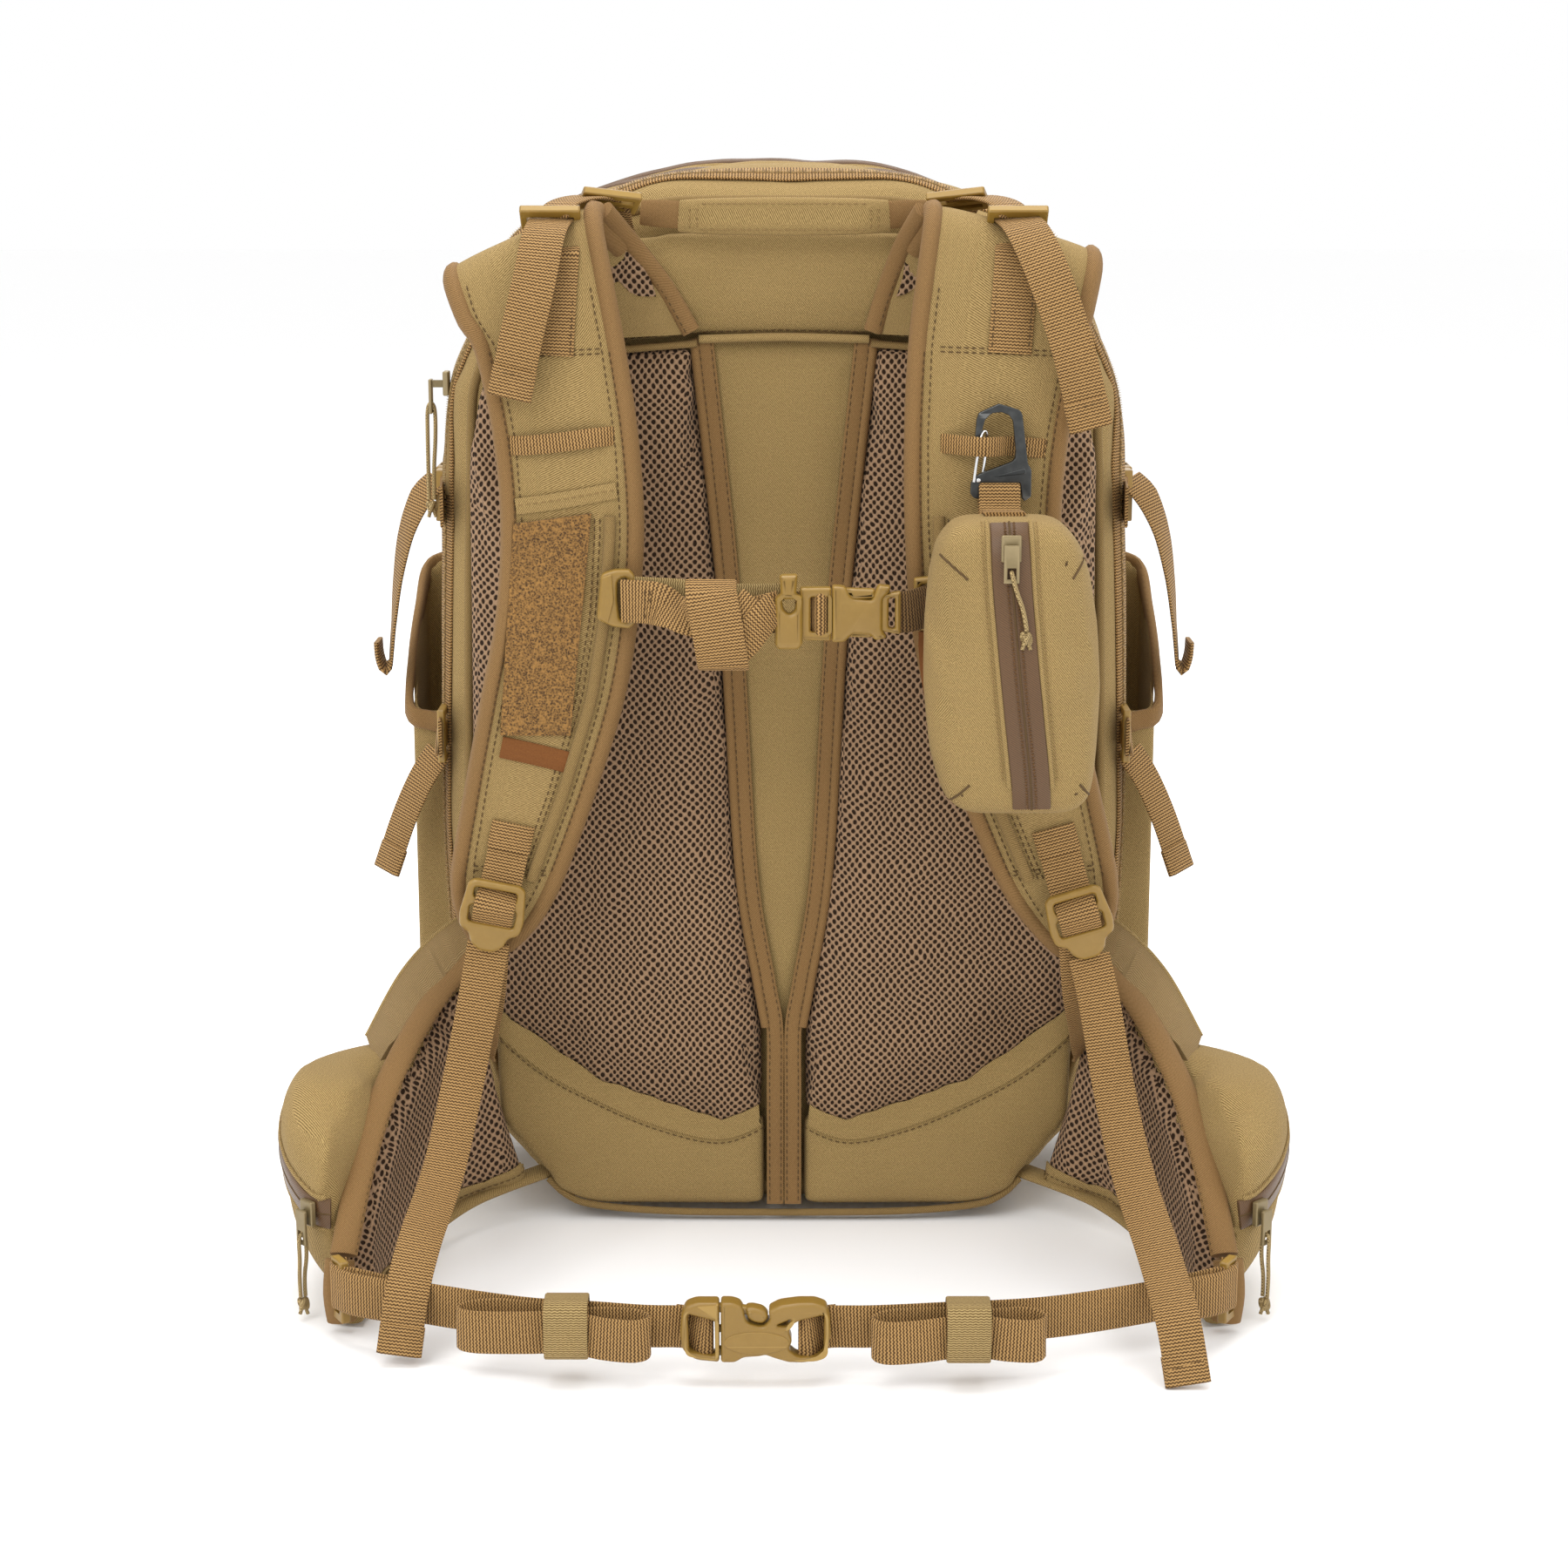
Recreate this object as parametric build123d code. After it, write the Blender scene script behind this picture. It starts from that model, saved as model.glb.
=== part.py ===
"""Hunting backpack with hip belt, sternum strap and clipped accessory pouch.

Millimetres, +Z up. The origin is the centre of the bag's base on the floor.
The wearer's side faces -Y and the front of the pack faces +Y.
Each sub-part is written to parts/NAME.step by the function that builds it.
"""

import math
import os

from build123d import *

# ---- driving dimensions -------------------------------------------------
WEB_T = 1.6                # thickness of one layer of web
GAP = 0.4                  # clearance between bodies that move apart

BACK_Y = -84.0             # rear wall of the main bag
MAIN_FRONT_Y = 30.0        # where the main bag meets the second compartment
FRONT_Y = 86.0             # where the second compartment meets the stash pocket
STASH_Y = 104.0            # outermost face of the stash pocket
BAG_WALL = 2.5
BAG_EDGE_RADIUS = 14.0

PAD_T = 15.0               # mesh back pad
SPINE_T = 7.0
YOKE_T = 9.0
LUMBAR_T = 13.0
STEM_HALF = 9.0            # half width of the twin binding below the pads

STRAP_T = 11.0             # padded shoulder strap
STRAP_FRONT_Y = -161.0     # nearest plane in front of both straps
STERNUM_Z = 331.0
STERNUM_Y = -175.0

WING_T = 12.0              # padded hip wing
BELT_LOW, BELT_HIGH = 17.0, 37.0
SIDE_BUCKLE_X, SIDE_BUCKLE_Y, SIDE_BUCKLE_Z = 174.4, -10.0, 366.0
HIP_BUCKLE_X = -12.0
HIP_BUCKLE_Y = -298.0
HIP_BUCKLE_Z = 27.0

POUCH_ZIP = Vector(101, -226.4, 366)      # base of the pouch zip's slider
SIDE_ZIP = Vector(-165.6, -59, 425)       # base of the rear zip's slider
PULL_REACH = 5.4           # how far a pull's plate stands off its zip
SIDE_PULL_REACH = 9.4
PULL_HOLE_Z = -10.5
CORD_D = 2.0               # zip pull cord
KNOT_D, KNOT_L = 6.5, 9.0

# Half outline of the bag seen from behind, (x, z), from the base to the crown.
BAG_HALF = [(118, 0), (150, 42), (165, 120), (168, 200), (163, 425), (132, 503), (60, 528)]
# Corners of the tapered channel between the back pads, (half width, z).
CHANNEL = [(41.7, 449), (28.5, 319), (21, 187), (STEM_HALF, 104)]

# Edges of each shoulder strap seen from behind, (x, z), from the fold to the tip.
STRAP_EDGES = {
    "left": ([(-157, 486), (-143, 449), (-132, 368), (-143, 285), (-160, 197)],
             [(-85, 512), (-74, 449), (-66, 368), (-76, 285), (-106, 197)]),
    "right": ([(152, 490), (139, 449), (129, 368), (139, 285), (160, 197)],
              [(66, 512), (58, 449), (57, 368), (68, 285), (102, 197)]),
}
STRAP_TIP = {"left": [(-150, 160), (-129, 160)], "right": [(152, 156), (131, 156)]}
# Centre line of a shoulder strap seen from the side, (y, z), from the yoke to the tip.
STRAP_PROFILE = [(BACK_Y - YOKE_T, 466), (-104, 492), (-123, 500), (-141, 489), (-150, 462),
                 (-153.5, 420), (-155.5, 335), (-152, 230), (-143, 150)]

# Centre line of a hip wing in plan, (distance from the mid plane, y).
WING_PLAN = [(150, -90), (172, -126), (189, -170), (199, -205), (205, -236)]
WING_SIDE = [(-80, 22), (-150, 12), (-205, 3), (-238, 1), (-240, 36), (-205, 72), (-170, 103),
             (-126, 129), (-96, 144), (-80, 146)]

# Hip pocket: a puck whose tilted axis is also the axis that the zip slider follows.
PUCK_CENTRE = Vector(174, -177, 76.5)
PUCK_AXIS = Vector(0, 0.455, -0.89)
PUCK_RADIUS = 68.0
SLIDER_ANGLE = 45.6        # heading of the hip slider's pull, from straight back, in plan
SLIDER_POINT = Vector(220, -222, 54)

SIDES = {"left": -1, "right": 1}


# ---- small shape helpers ------------------------------------------------
def write(shape, name):
    """Writes one sub-part, as one or more separate solids, to its own STEP file."""
    solids = shape.solids()
    body = solids[0] if len(solids) == 1 else Compound(children=list(solids))
    export_step(body, f"parts/{name}.step")


def group(*shapes):
    """Separate solids that share one node."""
    return Compound(children=[solid for shape in shapes for solid in shape.solids()])


def prism_xz(face, low_y, high_y):
    """A face drawn in (x, z), extruded between two planes of constant y."""
    return extrude(Plane.XZ.offset(-high_y) * face, amount=high_y - low_y, dir=(0, -1, 0))


def prism_yz(face, low_x, high_x):
    """A face drawn in (y, z), extruded between two planes of constant x."""
    return extrude(Plane.YZ.offset(low_x) * face, amount=high_x - low_x, dir=(1, 0, 0))


def prism_xy(face, low_z, high_z):
    """A face drawn in (x, y), extruded between two heights."""
    return extrude(Plane.XY.offset(low_z) * face, amount=high_z - low_z, dir=(0, 0, 1))


def block(low, high, radius=0.0):
    """A box between two corners, with every edge rounded if a radius is given."""
    size = [b - a for a, b in zip(low, high)]
    centre = [(a + b) / 2 for a, b in zip(low, high)]
    box = Pos(*centre) * Box(*size)
    return fillet(box.edges(), radius) if radius else box


def polygon(points, radius=0.0):
    """A closed face through the points, with rounded corners if a radius is given."""
    face = Polygon(*points, align=None)
    return fillet(face.vertices(), radius) if radius else face


def ribbon(points, thickness):
    """The face of a strip of constant thickness along a run of points."""
    sides = ([], [])
    for i, here in enumerate(points):
        before = points[max(i - 1, 0)]
        after = points[min(i + 1, len(points) - 1)]
        into = Vector(here[0] - before[0], here[1] - before[1])
        out = Vector(after[0] - here[0], after[1] - here[1])
        into = into.normalized() if into.length else out.normalized()
        out = out.normalized() if out.length else into
        bisector = (into + out).normalized()
        reach = thickness / 2 / max(bisector.dot(into), 0.3)
        normal = Vector(-bisector.Y, bisector.X)
        sides[0].append((here[0] + normal.X * reach, here[1] + normal.Y * reach))
        sides[1].append((here[0] - normal.X * reach, here[1] - normal.Y * reach))
    return Polygon(*sides[0], *reversed(sides[1]), align=None)


def mirrored(points):
    """Points of a half outline followed by their mirror image across the mid plane."""
    return points + [(-x, z) for x, z in reversed(points)]


def flip(shape, side):
    """The shape for the right side, or its mirror image for the left."""
    return shape if side == "right" else mirror(shape, about=Plane.YZ)


def frame_plate(width, height, thickness, slots):
    """A plate in the XZ plane with web slots, each slot (centre z, height)."""
    plate = block((-width / 2, -thickness / 2, -height / 2), (width / 2, thickness / 2, height / 2), 1.0)
    for centre_z, slot_height in slots:
        plate -= Pos(0, 0, centre_z) * Box(width - 6, 2 * thickness, slot_height)
    return plate


# ---- bag ----------------------------------------------------------------
def bag_shell(low_y, high_y, inset, drop):
    """A closed hollow compartment: the bag's outline, inset at the sides and lower at the crown."""
    def solid(margin):
        points = [(x - inset - margin, max(z - (drop if z > 450 else 0) - margin, margin))
                  for x, z in BAG_HALF]
        face = polygon(mirrored(points), 18)
        body = prism_xz(face, low_y + margin, high_y - margin)
        ends = body.faces().sort_by(Axis.Y)
        rim = ends[0].edges() + ends[-1].edges()
        return fillet(rim, BAG_EDGE_RADIUS - margin)
    return solid(0) - solid(BAG_WALL)


def main_bag():
    """Rear compartment, which carries the back panel."""
    return bag_shell(BACK_Y, MAIN_FRONT_Y, 0, 0)


def front_bag():
    """Second compartment, in front of the main one."""
    return bag_shell(MAIN_FRONT_Y, FRONT_Y, 7, -4)


def stash_pocket():
    """Low outer pocket on the front, closed by a short zip."""
    face = polygon([(-112, 12), (112, 12), (124, 120), (112, 330), (70, 372), (-70, 372), (-112, 330),
                    (-124, 120)], 16)
    body = prism_xz(face, FRONT_Y, STASH_Y)
    body = fillet(body.faces().sort_by(Axis.Y)[-1].edges(), 9)
    return body - prism_xz(offset(face, -9), FRONT_Y + BAG_WALL, STASH_Y - BAG_WALL)


def frame_sheet():
    """Stiff plastic sheet inside the rear wall."""
    face = polygon([(-105, 40), (105, 40), (125, 120), (125, 400), (90, 455), (-90, 455), (-125, 400),
                    (-125, 120)], 12)
    inner = BACK_Y + BAG_WALL
    return prism_xz(face, inner, inner + 2)


def frame_stays():
    """Two aluminium stays in front of the frame sheet."""
    near = BACK_Y + BAG_WALL + 2
    return group(*[block((s * 45 - 6, near, 60), (s * 45 + 6, near + 3, 430), 1.0) for s in (-1, 1)])


def hoop(inset, drop, low_y, high_y, low_z, proud):
    """A band that follows the bag's outline over the crown, open at the bottom."""
    points = [(x - inset, z - (drop if z > 450 else 0)) for x, z in BAG_HALF]
    inner = polygon(mirrored(points), 18)
    outer = offset(inner, proud)
    ring = prism_xz(outer, low_y, high_y) - prism_xz(inner, low_y - 1, high_y + 1)
    return ring - block((-300, low_y - 2, -50), (300, high_y + 2, low_z))


def main_zipper():
    """Khaki clamshell zip over the rear compartment."""
    return hoop(0, 0, -64, -54, 60, 1.6)


def front_zippers():
    """Brown zip of the second compartment, and the short one of the stash pocket."""
    upper = hoop(0, 0, 4, 14, 110, 1.8)
    second = hoop(7, -4, 58, 68, 150, 1.8)
    stash = block((-70, FRONT_Y, 380), (70, FRONT_Y + 3, 392), 1.0)
    return group(upper, second, stash)


# ---- back panel ---------------------------------------------------------
def channel_side(side):
    """Edge points of the spine channel on one side, from the yoke down to the stem."""
    return [(SIDES[side] * x, z) for x, z in CHANNEL]


def back_pad(side):
    """Foam pad under mesh, between the channel and the bag's edge."""
    s = SIDES[side]
    points = channel_side(side) + [(s * STEM_HALF, 58), (s * 32, 49), (s * 95, 70), (s * 148, 108),
                                   (s * 160, 190), (s * 157, 390), (s * 146, 441)]
    body = prism_xz(Polygon(*points, align=None), BACK_Y - PAD_T, BACK_Y)
    return chamfer(body.faces().sort_by(Axis.Y)[0].edges(), 4)


def spine_panel():
    """Khaki channel between the pads, and the stem of twin binding below it."""
    right = channel_side("right") + [(STEM_HALF, 6)]
    face = Polygon(*mirrored(right), align=None)
    return prism_xz(face, BACK_Y - SPINE_T, BACK_Y)


def yoke_panel():
    """Khaki panel above the pads that the shoulder straps are sewn to."""
    face = Polygon((-41.7, 449), (-146, 441), (-143, 470), (-118, 497), (0, 503), (118, 497), (143, 470),
                   (146, 441), (41.7, 449), align=None)
    return prism_xz(face, BACK_Y - YOKE_T, BACK_Y)


def lumbar_panel():
    """Khaki cover below the pads, one half each side of the stem."""
    halves = []
    for s in (-1, 1):
        face = Polygon((s * STEM_HALF, 58), (s * 32, 49), (s * 95, 70), (s * 148, 108), (s * 146, 52),
                       (s * 118, 6), (s * STEM_HALF, 6), align=None)
        halves.append(prism_xz(face, BACK_Y - LUMBAR_T, BACK_Y))
    return group(*halves)


def grab_handle():
    """Folded band at the top of the yoke, standing off it by a finger gap."""
    arch = [(-59, -95.6), (-48, -102.5), (-34, -108), (34, -108), (48, -102.5), (59, -95.6)]
    return prism_xy(ribbon(arch, 4), 491, 508)


# ---- side pockets and compression webs ----------------------------------
def bottle_pocket(side):
    """Open-topped pocket on the bag's side, with a sloping mouth."""
    plan = [(166.5, -53), (190, -46), (193, -10), (192, 46), (166.5, 60)]
    outer = prism_xy(Polygon(*plan, align=None), 14, 340)
    inner_plan = [(160, -50.5), (187.6, -44), (190.4, -10), (189.6, 44), (160, 57.2)]
    inner = prism_xy(Polygon(*inner_plan, align=None), 17, 341)
    above = prism_yz(Polygon((-80, 252), (-58, 252), (60, 330), (80, 330), (80, 420), (-80, 420),
                             align=None), 100, 260)
    shell = outer - inner - above
    inboard = prism_xz(polygon(mirrored([(x + 0.3, z) for x, z in BAG_HALF]), 18), -90, 90)
    return flip(shell - inboard, side)


def side_webs():
    """Compression webs, anchors and loose tails on both sides of the bag."""
    parts = []
    for side in SIDES:
        rear = block((169.2, -84, 356), (170.8, -34.4, 376))
        front = block((169.2, 14.4, 356), (170.8, 60, 376))
        tail = prism_xz(ribbon([(179.4, 374), (190, 354), (198, 328), (202, 276)], WEB_T), -36, -16)
        low_rear = block((170, -84, 240), (171.6, -77.4, 260))
        low_tail = prism_xz(ribbon([(175.8, 238), (186, 226), (203, 178)], WEB_T), -76, -56)
        for piece in (rear, front, tail, low_rear, low_tail):
            parts.append(flip(piece, side))
    return group(*parts)


def side_ladder_locks():
    """Small ladder locks of the lower compression webs."""
    lock = Pos(172, -67, 250) * Rot(0, 0, 90) * frame_plate(20, 27, 4, [(8, 4), (-8, 4)])
    return group(*[flip(lock, side) for side in SIDES])


def side_buckle():
    """Both halves of an upper compression buckle on the right side of the bag."""
    socket, plug = release_buckle(24, 27, 7, 12)
    place = Pos(SIDE_BUCKLE_X, SIDE_BUCKLE_Y, SIDE_BUCKLE_Z) * Rot(0, 0, -90)
    return place * socket, place * plug


# ---- buckles ------------------------------------------------------------
def release_buckle(length, height, thickness, frame):
    """Side-release buckle about the socket's centre: the socket points to +X, the plug to -X."""
    half = length / 2
    shell = block((-half, -thickness / 2, -height / 2), (half, thickness / 2, height / 2), 1.2)
    shell -= block((-half - 1, -thickness / 2 + 1.3, -height / 2 + 2), (half - 3, thickness / 2 - 1.3,
                                                                       height / 2 - 2))
    shell -= Box(length * 0.36, thickness - 2.6, height + 4)
    bar = block((half - 0.5, -thickness / 2 + 1, -height / 2 + 0.5),
                (half + frame, thickness / 2 - 1, height / 2 - 0.5), 0.8)
    bar -= Pos(half + frame / 2, 0, 0) * Box(frame - 6, 2 * thickness, height - 7)
    socket = shell + bar

    deep = thickness / 2 - 1.3 - 0.35
    base = block((-half - frame, -thickness / 2 + 1, -height / 2 + 0.5),
                 (-half - GAP, thickness / 2 - 1, height / 2 - 0.5), 0.8)
    base -= Pos(-half - frame / 2, 0, 0) * Box(frame - 6, 2 * thickness, height - 7)
    tongue = block((-half - 2, -deep, -2), (half - 5, deep, 2))
    plug = base + tongue
    for s in (-1, 1):
        arm = polygon([(-half - 2, s * (height / 2 - 6.5)), (half - 5, s * (height / 2 - 5.5)),
                       (half - 5, s * (height / 2 - 2.6)), (-half - 2, s * (height / 2 - 3.5))])
        plug += prism_xz(arm, -deep, deep)
    return socket, plug


def hip_buckle():
    """Both halves of the waist buckle, in place."""
    socket, plug = release_buckle(32, 30, 10, 17)
    place = Pos(HIP_BUCKLE_X, HIP_BUCKLE_Y, HIP_BUCKLE_Z)
    return place * socket, place * plug


def sternum_buckle():
    """Both halves of the chest buckle, in place."""
    socket, plug = release_buckle(22, 27, 8, 12)
    place = Pos(33, STERNUM_Y - 2, STERNUM_Z - 2)
    return place * socket, place * plug


def whistle():
    """Whistle moulded beside the chest plug's web bar."""
    body = block((-4, STERNUM_Y - 8, 313), (9.4, STERNUM_Y + 1, 348), 2.0)
    throat = block((0, STERNUM_Y - 9, 335), (5.5, STERNUM_Y - 4, 339))
    return body - throat


def shoulder_lock(side):
    """Ladder lock at the tip of a shoulder strap, with its lifting tongue."""
    plate = frame_plate(31, 26, 5, [(6, 5), (-3.5, 5)])
    tongue = prism_xz(polygon([(-12, -11), (12, -11), (9, -21), (-9, -21)], 3), -2, 2)
    lock = plate + tongue
    if side == "left":
        return Pos(-139, -164, 184) * Rot(-8, 11, 0) * lock
    return Pos(141, -164, 180) * Rot(-8, -17, 0) * lock


def lifter_lock(side):
    """Buckle of a load lifter at the pack's top edge."""
    lock = frame_plate(28, 17, 4, [(3, 3.5), (-3.5, 3.5)])
    return flip(Pos(82, -113, 515) * Rot(62, 0, 0) * Rot(0, -14, 0) * lock, side)


def strap_lifter_locks():
    """Buckles that join the lifter webs to the tops of the shoulder straps."""
    lock = frame_plate(28, 14, 4, [(0, 5)])
    return group(*[flip(Pos(108, -140, 508) * Rot(50, 0, 0) * lock, side) for side in SIDES])


# ---- shoulder straps ----------------------------------------------------
def shoulder_strap(side):
    """Padded strap that folds over at the top and hangs in front of the back panel."""
    outer, inner = STRAP_EDGES[side]
    tip = STRAP_TIP[side]
    edge = [Spline(*outer), Line(outer[-1], tip[0]), Line(tip[0], tip[1]), Line(tip[1], inner[-1]),
            Spline(*reversed(inner)), Line(inner[0], outer[0])]
    front = prism_xz(make_face(edge), -200, -60)
    profile = prism_yz(ribbon(STRAP_PROFILE, STRAP_T), -200, 200)
    strap = front & profile
    behind = block((-200, BACK_Y - YOKE_T, 400), (200, 0, 560))
    return strap - behind


def hook_patch():
    """Hook-and-loop patch on the left strap."""
    face = Polygon((-125, 369), (-90, 372), (-101, 268), (-134, 266), align=None)
    return prism_xz(face, STRAP_FRONT_Y - 1.9, STRAP_FRONT_Y - 0.4)


def strap_loops():
    """Narrow accessory webs across both straps. The right one carries the carabiner."""
    left = prism_xy(ribbon([(-127, -160.5), (-119, -163), (-87, -163), (-79, -160.5)], 1.2), 403, 412)
    right = prism_xy(ribbon([(73, -160.5), (81, -166), (90, -172.4), (97, -170), (104, -163.4),
                             (114, -161.8), (122, -160.5)], 1.2), 400.9, 409.9)
    return group(left, right)


def lifter_webs():
    """Load-lifter webs between the buckles, and their loose tails over the straps."""
    parts = []
    tail_end = {"left": (-127, 428), "right": (141, 413)}
    for side, s in SIDES.items():
        bridge = block((94, -126, 512.5), (114, -118, 514.1))
        anchor = block((72, -104, 500), (92, -96, 501.6))
        parts += [flip(bridge, side), flip(anchor, side)]
        end_x, end_z = tail_end[side]
        top_x = s * 112
        face = Polygon((top_x - 10, 500), (top_x + 10, 500), (end_x + 10, end_z), (end_x - 10, end_z),
                       align=None)
        parts.append(prism_xz(face, -169, -167.4))
    return group(*parts)


def strap_tail(side):
    """Web from the ladder lock: the loose tail to the floor, and the run back to the bag's corner."""
    s = SIDES[side]
    if side == "left":
        plan = [(-133.8, 158), (-153.8, 154), (-184, 6), (-164, 4)]
        fall = [(-166, 158), (-172, 120), (-198, 84), (-262, 52), (-277, 38), (-279, 6)]
    else:
        plan = [(142.5, 150), (162.5, 146), (190, 3), (170, 1.5)]
        fall = [(-166, 152), (-174, 120), (-200, 80), (-262, 48), (-296, 34), (-304, 2)]
    face = Polygon(*plan, align=None)
    tail = prism_xz(face, -400, 0) & prism_yz(ribbon(fall, WEB_T), -250, 250)
    run = prism_yz(ribbon([(-160, 158), (-150, 130), (-120, 90), (-99, 66)], WEB_T),
                   s * 127 - 10, s * 127 + 10)
    return group(tail, run)


# ---- sternum strap ------------------------------------------------------
def sternum_clips():
    """C-shaped clips that ride on the rails of the shoulder straps."""
    parts = []
    for x in (-78, 66):
        clip = block((x - 7, -172, 319), (x + 7, STRAP_FRONT_Y - 1.6, 345), 1.5)
        clip -= Pos(x, -168.6, 332) * Box(20, 2.4, 21)
        parts.append(clip)
    return group(*parts)


def sternum_left_web():
    """Slack adjusting web, folded over itself."""
    path = [(-70.6, STERNUM_Y + 4), (-56, STERNUM_Y), (-42, STERNUM_Y - 6), (-30, STERNUM_Y - 12),
            (-16, STERNUM_Y - 11), (-6, STERNUM_Y - 4)]
    return prism_xy(ribbon(path, 3.2), STERNUM_Z - 10, STERNUM_Z + 10)


def sternum_right_web():
    """Short web between the socket and the right clip."""
    return prism_xy(ribbon([(56.4, STERNUM_Y - 2), (58.8, STERNUM_Y - 1.4)], 2.4), STERNUM_Z - 11,
                    STERNUM_Z + 9)


# ---- hip belt -----------------------------------------------------------
def hip_wing(side):
    """Padded wing of the hip belt, curving forward from the bag's lower corner."""
    plan = prism_xy(ribbon(WING_PLAN, WING_T), 0, 200)
    elevation = prism_yz(Polygon(*WING_SIDE, align=None), 100, 300)
    wing = plan & elevation
    return flip(wing, side)


def hip_pocket(side):
    """Zipped pocket on the outside of a wing: a rounded puck about the tilted zip axis."""
    plane = Plane(origin=PUCK_CENTRE, x_dir=(1, 0, 0), z_dir=PUCK_AXIS)
    disc = extrude(plane * Circle(PUCK_RADIUS), amount=34, both=True)
    disc = fillet(disc.edges(), 22)
    outline = [(x + WING_T / 2 / 0.94, y) for x, y in WING_PLAN]
    keep = prism_xy(Polygon((outline[1][0], -118), *outline[1:], (205.5 + 8, -241), (300, -241),
                            (300, -118), align=None), 7, 108)
    return flip(disc & keep, side)


def stabilizer_wings():
    """Ribbed flanges from the bag's sides down onto the hip pockets."""
    face = Polygon((0, 152), (0, 98), (34, 98), (48, 112), (18, 150), align=None)
    flange = Pos(163, -66, 0) * Rot(0, 0, -38) * prism_xz(face, -0.9, 0.9)
    inboard = prism_xz(polygon(mirrored([(x + 0.3, z) for x, z in BAG_HALF]), 18), -84, 90)
    flange = flange - inboard
    return group(*[flip(flange, side) for side in SIDES])


def hip_triglides():
    """Tri-glides at the tips of the wings."""
    glide = Pos(205, -247, 24) * Rot(0, 0, 60) * frame_plate(12, 30, 4.5, [(0, 22)])
    return group(*[flip(glide, side) for side in SIDES])


def belt_web(side):
    """Waist web from a tri-glide to the buckle, with the spare length folded in a bow."""
    if side == "left":
        run = [(-199, -252), (-165, -268), (-118, -283), (-84, -292), (-45.6, -298)]
        centres = [(-121, -291, 42), (-77, -301, 32)]
    else:
        run = [(199, -252), (165, -268), (118, -283), (70, -293), (21.6, -298)]
        centres = [(58, -302, 36), (99, -296, 32)]
    web = prism_xy(ribbon(run, WEB_T), BELT_LOW, BELT_HIGH)
    for x, y, width in centres:
        loop = Ellipse(width / 2, 5.5) - Ellipse(width / 2 - WEB_T, 5.5 - WEB_T)
        slope = 12 if side == "left" else -12
        web += prism_xy(Pos(x, y - 4) * Rot(0, 0, slope * -1) * loop, BELT_LOW - 1, BELT_HIGH - 3)
    return web


def belt_keepers():
    """Elastic keepers round the stowed bows."""
    return group(block((-105, -313, 14), (-84, -310.5, 40), 1.0), block((72, -314, 14), (92, -311.5, 40), 1.0))


# ---- carabiner and pouch ------------------------------------------------
def carabiner_body():
    """Flat carabiner with a faceted crown and a lower bar for the pouch web."""
    outer = polygon([(87, 384), (88, 416), (92, 421), (98.5, 424.5), (107, 421.5), (113.5, 396),
                     (115, 386), (112, 380.5), (89, 380.5)], 1.0)
    eye = polygon([(93, 398), (92.6, 414), (98.5, 419.5), (103.5, 416), (108, 401)], 1.5)
    slot = Polygon((89.4, 384.2), (89.4, 390), (110.4, 391), (110.4, 384.2), align=None)
    mouth = Polygon((80, 394), (80, 410), (94, 410), (94, 394), align=None)
    return prism_xz(outer, -169, -165) - prism_xz(eye, -170, -164) - prism_xz(slot, -170, -164) \
        - prism_xz(mouth, -170, -164)


def carabiner_gate():
    """Sprung wire gate across the carabiner's mouth."""
    return Pos(90.4, -167, 402) * Cylinder(0.9, 15.2)


def pouch_body():
    """Soft zipped pouch, and the web loop that hangs it from the carabiner's lower bar."""
    pouch = block((64, -226, 240), (140, -177, 379), 15)
    loop = prism_yz(ribbon([(-170.6, 371), (-170.6, 386.4), (-163.6, 386.4), (-163.6, 371),
                            (-176.6, 366)], 1.0), 90, 109)
    return group(pouch, loop)


# ---- zip sliders and cords ----------------------------------------------
def zip_slider(reach):
    """A slider with its base in the plane Y = 0. Its pull hangs at Y = -reach, with a hole for the cord."""
    slider = block((-4.5, -3, -6), (4.5, 0, 6), 0.8)
    slider += block((-1.5, -reach, -2), (1.5, -2.5, 1.5))
    pull = block((-3.5, -reach - 0.8, -15), (3.5, -reach + 0.8, 2), 0.5)
    return slider + pull - Pos(0, -reach, PULL_HOLE_Z) * Box(4, 4, 5)


def doubled_cord(centre, apart):
    """Cord up from a knot, through a pull's hole and back down into the knot.

    centre runs from the knot's top to the hole, and apart is the direction through the hole.
    """
    spacing = [0.65 * CORD_D, 0.65 * CORD_D] + [CORD_D] * (len(centre) - 2)
    up = [point + apart * wide for point, wide in zip(centre, spacing)]
    down = [point - apart * wide for point, wide in zip(centre, spacing)]
    route = up + down[::-1]
    radii = []
    for before, corner, after in zip(route, route[1:], route[2:]):
        into, out = corner - before, after - corner
        half_turn = math.radians(into.get_angle(out)) / 2
        radii.append(0.45 * min(into.length, out.length) / math.tan(half_turn))
    path = FilletPolyline(*route, radius=radii)
    heading = (route[1] - route[0]).normalized()
    cord = sweep(Plane(origin=route[0], z_dir=heading) * Circle(CORD_D / 2), path=path)
    knot = extrude(Plane(origin=centre[0], z_dir=-heading) * Circle(KNOT_D / 2), amount=KNOT_L)
    ideal = math.pi * CORD_D ** 2 / 4 * path.length
    print(f"  cord length {path.length:.1f}, volume ratio {cord.volume / ideal:.4f}, radii",
          [round(r, 1) for r in radii])
    return group(cord, knot)


def pouch_slider():
    """Slider of the pouch zip, with its pull."""
    return Pos(*POUCH_ZIP) * zip_slider(PULL_REACH)


def pouch_cord():
    """Pull cord of the pouch zip."""
    hole = POUCH_ZIP + Vector(0, -PULL_REACH, PULL_HOLE_Z + 0.5)
    return doubled_cord([hole + Vector(7, 0, -26), hole + Vector(6, -0.5, -18), hole + Vector(2, 0, -8),
                         hole], Vector(0, -1, 0))


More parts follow.
